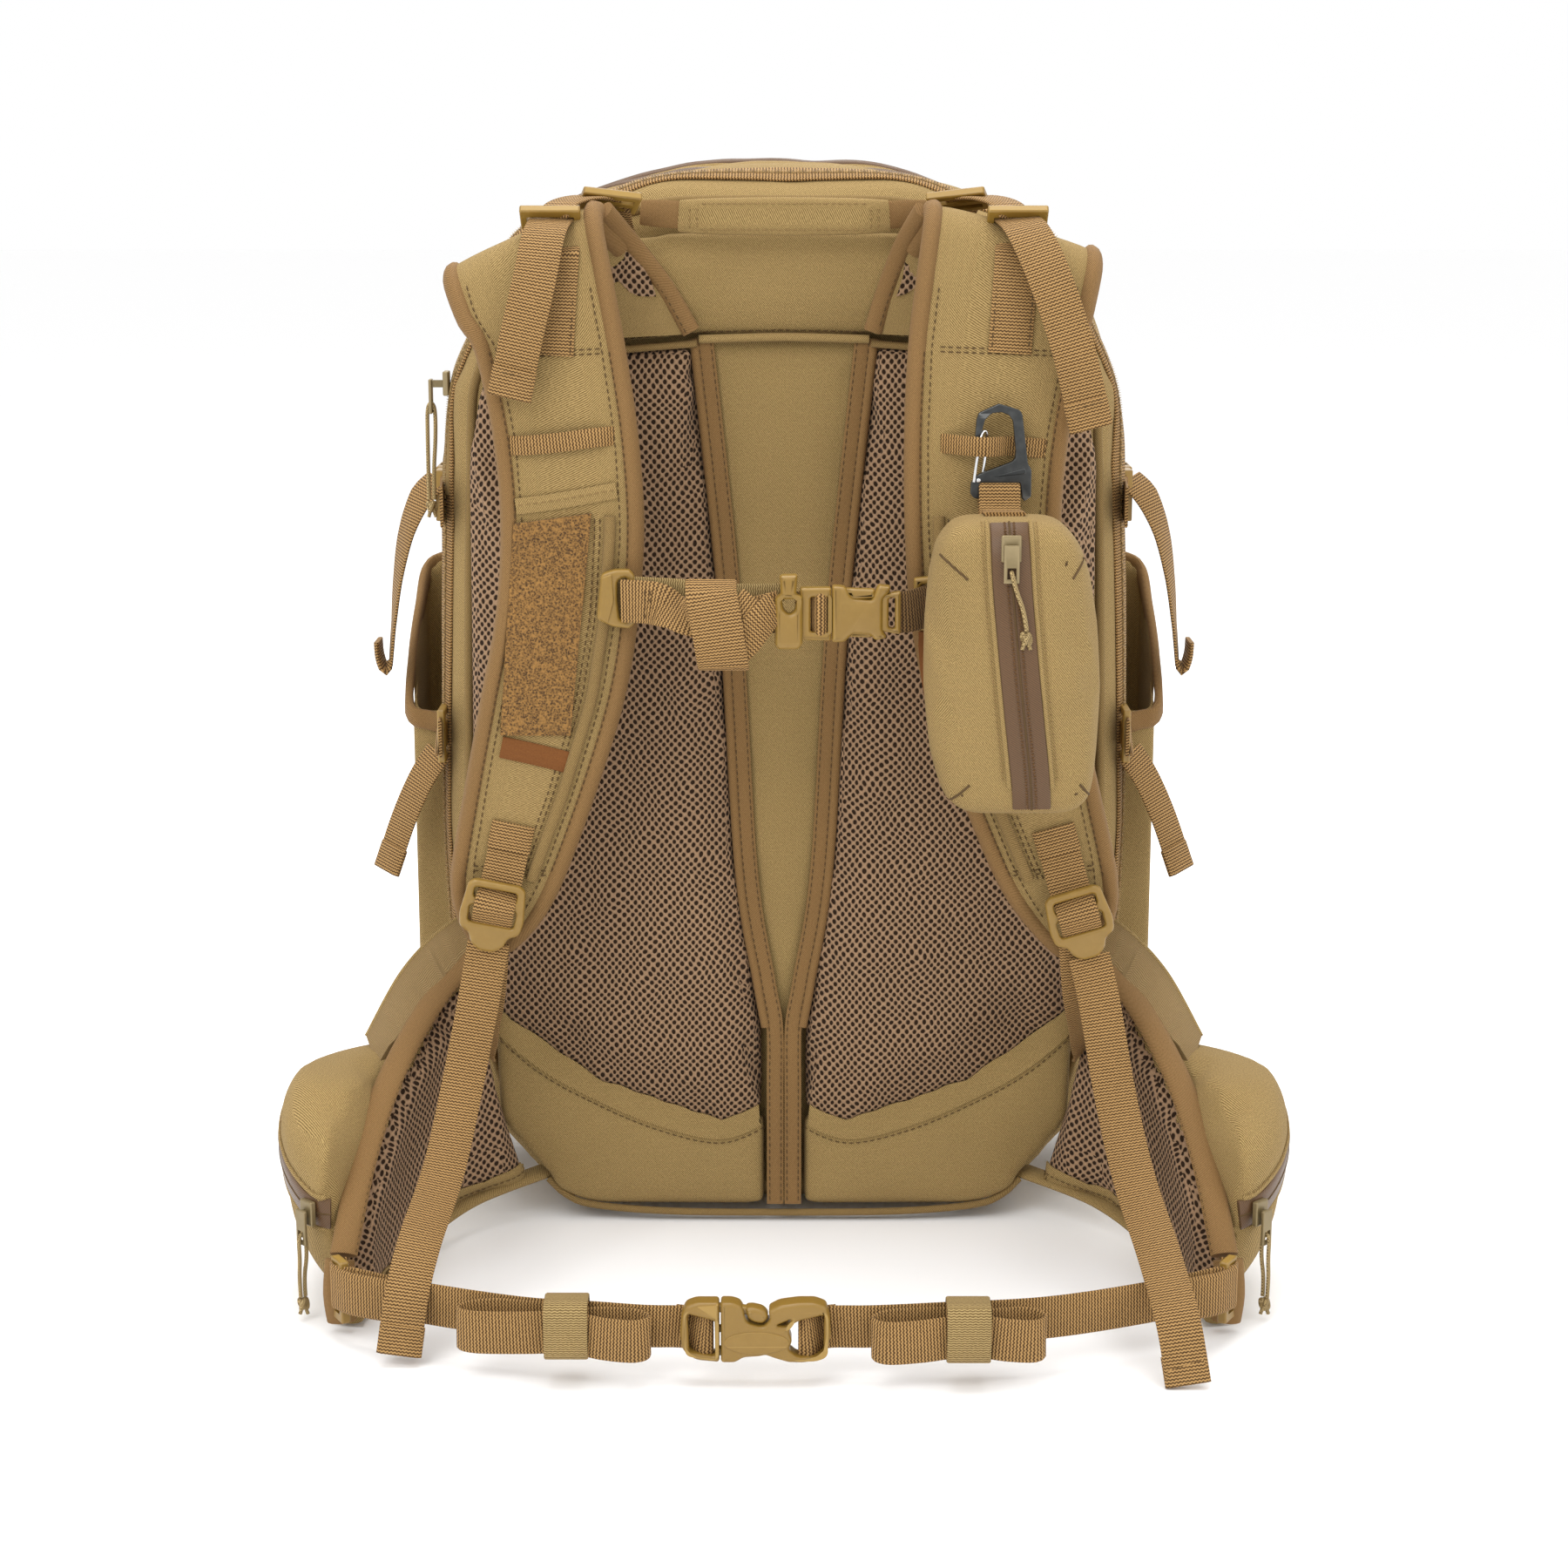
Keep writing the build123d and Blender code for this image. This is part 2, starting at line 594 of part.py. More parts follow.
def side_slider():
    """Slider of the rear zip, on the left side of the bag."""
    return Pos(*SIDE_ZIP) * Rot(0, 0, -90) * zip_slider(SIDE_PULL_REACH)


def side_cord():
    """Pull cord of the rear zip."""
    hole = SIDE_ZIP + Vector(-SIDE_PULL_REACH, 0, PULL_HOLE_Z + 0.5)
    return doubled_cord([hole + Vector(-1, 1, -48), hole + Vector(-1, 1, -34), hole + Vector(0, -1, -17),
                         hole], Vector(-1, 0, 0))


def hip_slider(side):
    """Slider of a hip pocket's zip."""
    radial = (SLIDER_POINT - PUCK_CENTRE).normalized()
    base = SLIDER_POINT + radial * 2.4
    return flip(Pos(*base) * Rot(0, 0, SLIDER_ANGLE) * zip_slider(PULL_REACH), side)


def hip_cord(side):
    """Pull cord of a hip pocket's zip, with its knot by the floor."""
    radial = (SLIDER_POINT - PUCK_CENTRE).normalized()
    turn = math.radians(SLIDER_ANGLE)
    away = Vector(math.sin(turn), -math.cos(turn), 0)
    hole = SLIDER_POINT + radial * 2.4 + away * PULL_REACH + Vector(0, 0, PULL_HOLE_Z + 0.5)
    cord = doubled_cord([hole + Vector(0.5, 0.4, -31), hole + Vector(0.9, 0.6, -22), hole + Vector(-0.5, -0.5, -11),
                         hole], away)
    return flip(cord, side)


def main():
    """Builds every sub-part and writes it to its own file."""
    os.makedirs("parts", exist_ok=True)
    hip_socket, hip_plug = hip_buckle()
    sternum_socket, sternum_plug = sternum_buckle()
    side_socket, side_plug = side_buckle()
    parts = {
        "main_bag": main_bag(),
        "front_bag": front_bag(),
        "stash_pocket": stash_pocket(),
        "frame_sheet": frame_sheet(),
        "frame_stays": frame_stays(),
        "main_zipper": main_zipper(),
        "front_zippers": front_zippers(),
        "spine_panel": spine_panel(),
        "yoke_panel": yoke_panel(),
        "lumbar_panel": lumbar_panel(),
        "grab_handle": grab_handle(),
        "side_webs": side_webs(),
        "side_ladder_locks": side_ladder_locks(),
        "side_sockets": group(*[flip(side_socket, side) for side in SIDES]),
        "strap_lifter_locks": strap_lifter_locks(),
        "hook_patch": hook_patch(),
        "strap_loops": strap_loops(),
        "lifter_webs": lifter_webs(),
        "stabilizer_wings": stabilizer_wings(),
        "hip_triglides": hip_triglides(),
        "belt_keepers": belt_keepers(),
        "hip_socket": hip_socket,
        "hip_plug": hip_plug,
        "sternum_socket": sternum_socket,
        "sternum_plug": sternum_plug,
        "whistle": whistle(),
        "sternum_clips": sternum_clips(),
        "sternum_left_web": sternum_left_web(),
        "sternum_right_web": sternum_right_web(),
        "carabiner_body": carabiner_body(),
        "carabiner_gate": carabiner_gate(),
        "pouch_body": pouch_body(),
        "pouch_slider": pouch_slider(),
        "pouch_cord": pouch_cord(),
        "side_slider": side_slider(),
        "side_cord": side_cord(),
    }
    for side in SIDES:
        parts[f"{side}_back_pad"] = back_pad(side)
        parts[f"{side}_bottle_pocket"] = bottle_pocket(side)
        parts[f"{side}_shoulder_strap"] = shoulder_strap(side)
        parts[f"{side}_shoulder_lock"] = shoulder_lock(side)
        parts[f"{side}_strap_tail"] = strap_tail(side)
        parts[f"{side}_lifter_lock"] = lifter_lock(side)
        parts[f"{side}_side_plug"] = flip(side_plug, side)
        parts[f"{side}_hip_wing"] = hip_wing(side)
        parts[f"{side}_hip_pocket"] = hip_pocket(side)
        parts[f"{side}_belt_web"] = belt_web(side)
        parts[f"{side}_hip_slider"] = hip_slider(side)
        parts[f"{side}_hip_cord"] = hip_cord(side)
    for name, shape in parts.items():
        write(shape, name)
        print(name, round(sum(solid.volume for solid in shape.solids())))


main()
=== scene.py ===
"""Looks of a khaki hunting backpack: mesh back panel, padded straps, hip belt, webs, buckles and a
clipped pouch.

Every length is in metres. The wearer's side faces -Y, and the pack's base stands on Z = 0.
"""

import enum
import logging
import math
from collections.abc import Callable, Sequence
from dataclasses import dataclass, field

import bmesh
import bpy
import numpy as np
from mathutils import Matrix, Vector
from mathutils.bvhtree import BVHTree


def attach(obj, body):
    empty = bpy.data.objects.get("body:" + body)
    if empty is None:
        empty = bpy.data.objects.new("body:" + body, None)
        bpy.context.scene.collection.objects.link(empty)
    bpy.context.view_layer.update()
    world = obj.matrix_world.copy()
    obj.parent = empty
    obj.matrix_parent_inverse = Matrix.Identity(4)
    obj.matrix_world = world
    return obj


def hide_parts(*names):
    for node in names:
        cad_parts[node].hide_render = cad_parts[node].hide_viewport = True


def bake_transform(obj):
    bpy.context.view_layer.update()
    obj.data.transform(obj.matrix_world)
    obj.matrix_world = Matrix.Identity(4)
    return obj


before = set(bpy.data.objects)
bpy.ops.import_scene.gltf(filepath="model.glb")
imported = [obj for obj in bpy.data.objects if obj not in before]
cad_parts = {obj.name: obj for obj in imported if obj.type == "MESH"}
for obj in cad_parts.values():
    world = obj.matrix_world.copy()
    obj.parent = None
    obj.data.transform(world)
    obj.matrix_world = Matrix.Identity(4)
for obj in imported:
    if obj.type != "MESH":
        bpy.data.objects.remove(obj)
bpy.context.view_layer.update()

LOG = logging.getLogger("backpack")
OUT = Vector((0.0, -1.0, 0.0))
UP = Vector((0.0, 0.0, 1.0))
RIGHT = Vector((1.0, 0.0, 0.0))
SIDES = {"left": -1.0, "right": 1.0}

Path = list[Vector]
Seam = list[tuple[Vector, Vector]]
Colour = tuple[float, float, float]


class Slot(enum.Enum):
    """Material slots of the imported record."""

    KHAKI = "khaki_fabric"
    MESH = "pad_mesh"
    WEBBING = "webbing"
    ELASTIC = "elastic"
    ZIP_TAPE = "zip_tape"
    KHAKI_ZIP = "khaki_zip"
    PILE = "hook_pile"
    PLASTIC = "mustard_plastic"
    CARABINER = "carabiner_metal"
    WIRE = "gate_wire"
    SLIDER = "slider_metal"
    CORD = "pull_cord"
    SHEET = "frame_plastic"
    STAY = "stay_metal"


class Lay(enum.Enum):
    """Where a cloth's threads run: along the piece's own unwrapping, or flat to the nearest main plane."""

    UNWRAPPED = "unwrapped"
    BOXED = "boxed"


# ---- points and paths ---------------------------------------------------
def mm(x: float, y: float, z: float) -> Vector:
    """A point given in millimetres, in metres."""
    return Vector((x, y, z)) / 1000.0


def run(*points: tuple[float, float, float]) -> Path:
    """A path through points given in millimetres."""
    return [mm(*p) for p in points]


def spline(points: Sequence[Vector], step: float = 0.004) -> list[tuple[Vector, float]]:
    """Points on a smooth curve through the given ones.

    Args:
        points: What the curve goes through.
        step: Roughly how far apart the new points are.

    Returns:
        Each new point with its place among the given ones, as a fraction of their indices.
    """
    found = []
    last = len(points) - 1
    for i in range(last):
        a, b, c, d = points[max(i - 1, 0)], points[i], points[i + 1], points[min(i + 2, last)]
        count = max(1, math.ceil((c - b).length / step))
        for k in range(count):
            t = k / count
            bend = (2 * a - 5 * b + 4 * c - d) * t * t + (3 * b - a - 3 * c + d) * t ** 3
            found.append((0.5 * (2 * b + (c - a) * t + bend), i + t))
    found.append((points[-1].copy(), float(last)))
    return found


def smooth_path(points: Sequence[Vector], step: float = 0.004) -> Path:
    """The points of spline() without their places."""
    return [p for p, _ in spline(points, step)]


def between(values: Sequence, place: float) -> Vector | float:
    """The value at a fractional index, mixed from its two neighbours."""
    i = min(int(place), len(values) - 2)
    return values[i] * (1 - place + i) + values[i + 1] * (place - i)


def spaced(points: Sequence[Vector], count: int) -> Path:
    """A path through the points, cut into evenly spaced ones."""
    fine = smooth_path(points, 0.0005)
    return [between(fine, place) for place in np.linspace(0, len(fine) - 1, count)]


def mirror(points: Sequence[Vector]) -> Path:
    """The points across the mid plane."""
    return [Vector((-p.x, p.y, p.z)) for p in points]


def sided(points: Sequence[Vector], side: str) -> Path:
    """The points given for the right side, or their mirror image for the left."""
    return list(points) if side == "right" else mirror(points)


# ---- meshes -------------------------------------------------------------
def new_piece(name: str, points: Sequence[Vector], faces: Sequence[Sequence[int]],
              corners: Sequence[Sequence[tuple[float, float]]] | None = None,
              sharp: float = 40.0) -> bpy.types.Object:
    """A mesh object, smooth but for its sharp edges.

    Args:
        name: The piece's name.
        points: Its vertices.
        faces: Vertex indices of each face.
        corners: The unwrapping of each face's corners, in metres of cloth.
        sharp: Edges that turn more than this, in degrees, stay crisp.

    Returns:
        The new object, linked to the scene.
    """
    mesh = bpy.data.meshes.new(name)
    mesh.from_pydata([tuple(p) for p in points], [], [tuple(f) for f in faces])
    if corners is not None:
        layer = mesh.uv_layers.new(name="cloth")
        flat = [c for face in corners for corner in face for c in corner]
        layer.data.foreach_set("uv", flat)
    obj = bpy.data.objects.new(name, mesh)
    bpy.context.scene.collection.objects.link(obj)
    fix_normals(mesh)
    finish_shading(mesh, sharp)
    return obj


def fix_normals(mesh: bpy.types.Mesh) -> None:
    """Turns every face outwards."""
    work = bmesh.new()
    work.from_mesh(mesh)
    bmesh.ops.recalc_face_normals(work, faces=work.faces)
    work.to_mesh(mesh)
    work.free()


def finish_shading(mesh: bpy.types.Mesh, sharp: float) -> None:
    """Smooth faces with crisp edges above an angle in degrees."""
    mesh.polygons.foreach_set("use_smooth", [True] * len(mesh.polygons))
    mesh.set_sharp_from_angle(angle=math.radians(sharp))


def flat_profile(width: float, thickness: float) -> list[tuple[float, float]]:
    """Section of a web: a flat strip with eased edges."""
    w, t = width / 2, thickness / 2
    e = min(t, w * 0.3)
    return [(-w, -t * 0.4), (-w, t * 0.4), (-w + e, t), (0, t), (w - e, t), (w, t * 0.4), (w, -t * 0.4),
            (w - e, -t), (0, -t), (-w + e, -t)]


def oval_profile(across: float, out: float, count: int = 14) -> list[tuple[float, float]]:
    """Section of a rolled edge, by its half sizes."""
    turns = [2 * math.pi * k / count for k in range(count)]
    return [(-across * math.cos(a), out * math.sin(a)) for a in turns]


def sweep(name: str, path: Sequence[Vector], face: Vector | Sequence[Vector],
          profile: Sequence[tuple[float, float]], step: float = 0.004,
          widths: Sequence[float] | None = None, sharp: float = 50.0) -> bpy.types.Object:
    """A section carried along a smooth path, closed at both ends.

    Args:
        name: The piece's name.
        path: What it goes through.
        face: The way its face points, for the whole path or at each of its points.
        profile: The section, as (across, out) pairs.
        step: How far apart its rings are.
        widths: What multiplies its width at each point of the path.
        sharp: Edges that turn more than this, in degrees, stay crisp.

    Returns:
        The new piece.
    """
    line = spline(path, step)
    faces_at = [face] * len(path) if isinstance(face, Vector) else list(face)
    count = len(profile)
    rounds = [0.0]
    for k in range(count):
        (a, b), (c, d) = profile[k], profile[(k + 1) % count]
        rounds.append(rounds[-1] + math.hypot(c - a, d - b))
    points, lengths = [], [0.0]
    for i, (here, place) in enumerate(line):
        before, after = line[max(i - 1, 0)][0], line[min(i + 1, len(line) - 1)][0]
        along = (after - before).normalized()
        out = between(faces_at, place)
        out = (out - along * out.dot(along)).normalized()
        side = along.cross(out)
        scale = between(widths, place) if widths else 1.0
        points += [here + side * a * scale + out * b for a, b in profile]
        if i:
            lengths.append(lengths[-1] + (here - line[i - 1][0]).length)
    faces, corners = [], []
    for i in range(len(line) - 1):
        for k in range(count):
            j = (k + 1) % count
            faces.append((i * count + k, i * count + j, (i + 1) * count + j, (i + 1) * count + k))
            corners.append([(lengths[i], rounds[k]), (lengths[i], rounds[k + 1]),
                            (lengths[i + 1], rounds[k + 1]),
                            (lengths[i + 1], rounds[k])])
    for ring in (list(range(count))[::-1], [(len(line) - 1) * count + k for k in range(count)]):
        faces.append(ring)
        corners.append([profile[k % count] for k in ring])
    return new_piece(name, points, faces, corners, sharp)


def web(name: str, path: Sequence[Vector], face: Vector | Sequence[Vector], width: float = 0.02,
        thickness: float = 0.0016, widths: Sequence[float] | None = None,
        step: float = 0.004) -> bpy.types.Object:
    """A length of flat web."""
    return sweep(name, path, face, flat_profile(width, thickness), step, widths)


def rope(name: str, path: Sequence[Vector], radius: float, face: Vector = OUT,
         step: float = 0.004) -> bpy.types.Object:
    """A round piping or wire along a path."""
    return sweep(name, path, face, oval_profile(radius, radius, 10), step)


def padded_strip(name: str, one: Sequence[Vector], other: Sequence[Vector], thickness: float,
                 count: int = 28, step: float = 0.006, fullness: float = 3.2) -> bpy.types.Object:
    """A padded band between two edges, with a crowned section.

    Args:
        name: The piece's name.
        one: Points along one edge.
        other: As many points along the other edge.
        thickness: Its depth at the middle.
        count: Points round the section.
        step: How far apart its rings are.
        fullness: How square the section is: 2 is an ellipse.

    Returns:
        The new piece.
    """
    edge = spline(one, step)
    middle, points, lengths = [], [], [0.0]
    places = [place for _, place in edge]
    left = [p for p, _ in edge]
    whole = spline(other, 0.001)
    right = [min(whole, key=lambda q, place=place: abs(q[1] - place))[0] for place in places]
    middle = [(a + b) / 2 for a, b in zip(left, right)]
    for i, (a, b) in enumerate(zip(left, right)):
        along = (middle[min(i + 1, len(middle) - 1)] - middle[max(i - 1, 0)]).normalized()
        side = (b - a) / 2
        out = side.cross(along).normalized()
        if i:
            lengths.append(lengths[-1] + (middle[i] - middle[i - 1]).length)
        end = min(i, len(left) - 1 - i)
        full = thickness / 2 * min(1.0, 0.55 + 0.15 * end)
        for k in range(count):
            turn = 2 * math.pi * k / count
            c, s = math.cos(turn), math.sin(turn)
            across = math.copysign(abs(c) ** (2 / fullness), c)
            rise = math.copysign(abs(s) ** (2 / fullness), s)
            points.append(middle[i] + side * across + out * rise * full)
    faces, corners = [], []
    for i in range(len(left) - 1):
        half = (right[i] - left[i]).length / 2
        for k in range(count):
            j = (k + 1) % count
            faces.append((i * count + k, i * count + j, (i + 1) * count + j, (i + 1) * count + k))
            v = [half * math.cos(2 * math.pi * q / count) for q in (k, k + 1)]
            corners.append([(lengths[i], v[0]), (lengths[i], v[1]), (lengths[i + 1], v[1]),
                            (lengths[i + 1], v[0])])
    for ring in (list(range(count))[::-1], [(len(left) - 1) * count + k for k in range(count)]):
        faces.append(ring)
        corners.append([(0.0, 0.0)] * count)
    return new_piece(name, points, faces, corners, 60)


def patch(name: str, rows: Sequence[Sequence[Vector]], thickness: float,
          step: float = 0.005) -> bpy.types.Object:
    """A sheet of cloth through rows of points, with a thickness."""
    across = [smooth_path(row, step) for row in rows]
    count = min(len(row) for row in across)
    even = [[row[round(k * (len(row) - 1) / (count - 1))] for k in range(count)] for row in across]
    grid = list(zip(*[smooth_path(column, step) for column in zip(*even)]))
    height, width = len(grid), len(grid[0])
    points: Path = []
    for turn in (1.0, -1.0):
        for i in range(height):
            for j in range(width):
                u = grid[min(i + 1, height - 1)][j] - grid[max(i - 1, 0)][j]
                v = grid[i][min(j + 1, width - 1)] - grid[i][max(j - 1, 0)]
                points.append(grid[i][j] + u.cross(v).normalized() * turn * thickness / 2)
    faces, corners = [], []
    base = height * width
    for i in range(height - 1):
        for j in range(width - 1):
            quad = [i * width + j, i * width + j + 1, (i + 1) * width + j + 1, (i + 1) * width + j]
            place = [((q // width) * step, (q % width) * step) for q in quad]
            faces += [quad, [q + base for q in reversed(quad)]]
            corners += [place, place[::-1]]
    rim = [j for j in range(width)] + [i * width + width - 1 for i in range(1, height)]
    rim += [(height - 1) * width + j for j in range(width - 2, -1,
                                                    -1)] + [i * width for i in range(height - 2, 0, -1)]
    for k, a in enumerate(rim):
        b = rim[(k + 1) % len(rim)]
        faces.append([b, a, a + base, b + base])
        corners.append([(0.0, 0.0)] * 4)
    return new_piece(name, points, faces, corners, 60)


def join(name: str, *parts: bpy.types.Object) -> bpy.types.Object:
    """Several pieces as one mesh, which keeps their unwrapping."""
    work = bmesh.new()
    for part in parts:
        work.from_mesh(part.data)
    mesh = bpy.data.meshes.new(name)
    work.to_mesh(mesh)
    work.free()
    for part in parts:
        bpy.data.objects.remove(part)
    obj = bpy.data.objects.new(name, mesh)
    bpy.context.scene.collection.objects.link(obj)
    finish_shading(mesh, 50)
    return obj


class Skin:
    """The surface of a finished piece, on which seams, tapes and zips are laid."""

    def __init__(self, *pieces: bpy.types.Object) -> None:
        """Reads the surface of one or more pieces."""
        points: Path = []
        faces: list[list[int]] = []
        for piece in pieces:
            base = len(points)
            points += [v.co.copy() for v in piece.data.vertices]
            faces += [[base + i for i in p.vertices] for p in piece.data.polygons]
        self.tree = BVHTree.FromPolygons(points, faces)

    def lay(self, path: Sequence[Vector], toward: Vector, lift: float = 0.0004, step: float = 0.004) -> Seam:
        """A path dropped onto the surface.

        Args:
            path: What it goes through, before it is dropped.
            toward: The way in which it drops.
            lift: How far it stands off the surface.
            step: How far apart its points are.

        Returns:
            Points with the surface's normal at each.
        """
        found: Seam = []
        for point in smooth_path(path, step):
            place, normal, _, _ = self.tree.ray_cast(point - toward * 0.12, toward, 0.3)
            if place is None:
                place, normal, _, _ = self.tree.find_nearest(point)
            if normal.dot(toward) > 0:
                normal = -normal
            found.append((place + normal * lift, normal))
        return found


def tape(name: str, seam: Seam, width: float, thickness: float = 0.001) -> bpy.types.Object:
    """A tape that follows a seam's points and faces its normals."""
    return sweep(name, [p for p, _ in seam], [n for _, n in seam], flat_profile(width, thickness), 0.02)


def rolled(name: str, seam: Seam, across: float, out: float) -> bpy.types.Object:
    """A rolled edge that follows a seam."""
    return sweep(name, [p for p, _ in seam], [n for _, n in seam], oval_profile(across, out), 0.02)


def stitches(name: str, seams: Sequence[Seam], length: float = 0.0024, gap: float = 0.0012,
             size: float = 0.00034) -> bpy.types.Object:
    """Rows of thread stitches.

    Args:
        name: The piece's name.
        seams: Points and normals that each row follows.
        length: Length of a stitch.
        gap: Cloth between two stitches.
        size: Half thickness of the thread.

    Returns:
        One mesh of small closed stitches.
    """
    points, faces = [], []
    for seam in seams:
        marks = [0.0]
        for (a, _), (b, _) in zip(seam, seam[1:]):
            marks.append(marks[-1] + (b - a).length)
        start = gap
        while start + length < marks[-1]:
            ends = []
            for at in (start, start + length / 2, start + length):
                i = max(0, int(np.searchsorted(marks, at)) - 1)
                t = (at - marks[i]) / max(marks[i + 1] - marks[i], 1e-9)
                ends.append((seam[i][0].lerp(seam[i + 1][0], t), seam[i][1]))
            along = (ends[2][0] - ends[0][0]).normalized()
            base = len(points)
            for (place, normal), wide, rise in zip(ends, (0.5, 1.0, 0.5), (-0.3, 0.7, -0.3)):
                side = along.cross(normal).normalized() * size * wide
                crown = place + normal * size * rise
                points += [crown + side, crown + normal * size * wide, crown - side,
                           crown - normal * size * wide]
            for ring in (0, 4):
                for k in range(4):
                    j = (k + 1) % 4
                    faces.append([base + ring + k, base + ring + j, base + ring + 4 + j, base + ring + 4 + k])
            faces += [[base + 3, base + 2, base + 1, base], [base + 8, base + 9, base + 10, base + 11]]
            start += length + gap
    return new_piece(name, points, faces, None, 80)


# ---- padding that swells ------------------------------------------------
@dataclass
class Stuffed:
    """A soft piece cut from a solid of the frame, then swollen as cloth under pressure.

    Attributes:
        node: The solid that it starts from.
        voxel: Size of its even mesh.
        shrink: How far it is drawn in before it swells.
        cap: The most that a point may move.
        passes: Smoothing passes, which round its edges.
        held: Says which points are sewn down and don't move.
        pressure: How hard it is stuffed.
        whole: Whether every outer part is kept, or only the biggest.
        piece: The object, once cut.
    """

    node: str
    voxel: float = 0.005
    shrink: float = 0.0015
    cap: float = 0.006
    passes: int = 4
    held: Callable[[Vector], bool] | None = None
    pressure: float = 4.0
    whole: bool = True
    piece: bpy.types.Object | None = None
    start: list[Vector] = field(default_factory=list)

    def cut(self) -> None:
        """Makes the even mesh of its outer skin and draws it in."""
        work = bmesh.new()
        work.from_mesh(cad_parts[self.node].data)
        bmesh.ops.remove_doubles(work, verts=work.verts, dist=1e-6)
        keep = self.outer(work, self.whole)
        bmesh.ops.delete(work, geom=[v for v in work.verts if v not in keep], context="VERTS")
        mesh = bpy.data.meshes.new(self.node + "_soft")
        work.to_mesh(mesh)
        work.free()
        self.piece = bpy.data.objects.new(self.node + "_soft", mesh)
        bpy.context.scene.collection.objects.link(self.piece)
        even = self.piece.modifiers.new("even", "REMESH")
        even.mode = "VOXEL"
        even.voxel_size = self.voxel
        ease = self.piece.modifiers.new("ease", "SMOOTH")
        ease.factor = 0.5
        ease.iterations = self.passes
        self.settle()
        for vertex in self.piece.data.vertices:
            vertex.co -= vertex.normal * self.shrink
        self.start = [v.co.copy() for v in self.piece.data.vertices]

    @staticmethod
    def outer(work: bmesh.types.BMesh, whole: bool) -> set:
        """The vertices of every loose part that no other one contains, or of the biggest part alone."""
        left, parts = set(work.verts), []
        while left:
            found, queue = set(), [left.pop()]
            while queue:
                vertex = queue.pop()
                found.add(vertex)
                for edge in vertex.link_edges:
                    other = edge.other_vert(vertex)
                    if other in left:
                        left.discard(other)
                        queue.append(other)
            co = np.array([v.co for v in found])
            parts.append((found, co.min(0), co.max(0)))
        if not whole:
            return max(parts, key=lambda part: float(np.prod(part[2] - part[1])))[0]
        inner = [a for a, low, high in parts
                 if any((lo <= low).all() and (hi >= high).all() and b is not a for b, lo, hi in parts)]
        return {v for found, _, _ in parts for v in found if not any(found is a for a in inner)}

    def settle(self) -> None:
        """Applies what modifies the piece to its mesh."""
        shown = self.piece.evaluated_get(bpy.context.evaluated_depsgraph_get())
        mesh = bpy.data.meshes.new_from_object(shown)
        self.piece.modifiers.clear()
        self.piece.data = mesh

    def tense(self) -> None:
        """Puts the cloth under pressure."""
        if self.held is not None:
            pins = self.piece.vertex_groups.new(name="sewn")
            pins.add([v.index for v in self.piece.data.vertices if self.held(v.co)], 1.0, "REPLACE")
        cloth = self.piece.modifiers.new("cloth", "CLOTH")
        cloth.settings.use_pressure = True
        cloth.settings.uniform_pressure_force = self.pressure
        cloth.settings.effector_weights.gravity = 0.0
        cloth.settings.quality = 4
        cloth.settings.tension_stiffness = 12.0
        cloth.settings.compression_stiffness = 12.0
        if self.held is not None:
            cloth.settings.vertex_group_mass = "sewn"

    def release(self, swollen: bool) -> None:
        """Keeps the swollen shape, within the cap, and refines it."""
        if swollen:
            self.settle()
            for vertex, first in zip(self.piece.data.vertices, self.start):
                move = vertex.co - first
                if move.length > self.cap:
                    vertex.co = first + move.normalized() * self.cap
        fine = self.piece.modifiers.new("fine", "SUBSURF")
        fine.levels = 1
        self.settle()
        self.piece.vertex_groups.clear()
        finish_shading(self.piece.data, 80)


def stuff(pieces: Sequence[Stuffed], frames: int = 20) -> None:
    """Cuts every soft piece and lets them all swell in one run of the cloth solver."""
    for piece in pieces:
        piece.cut()
    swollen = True
    if swollen:
        for piece in pieces:
            piece.tense()
        for number in range(1, frames + 1):
            bpy.context.scene.frame_set(number)
    for piece in pieces:
        piece.release(swollen)
    bpy.context.scene.frame_set(1)
    LOG.info("%d soft pieces stuffed", len(pieces))


# ---- shader boards ------------------------------------------------------
Socket = bpy.types.NodeSocket


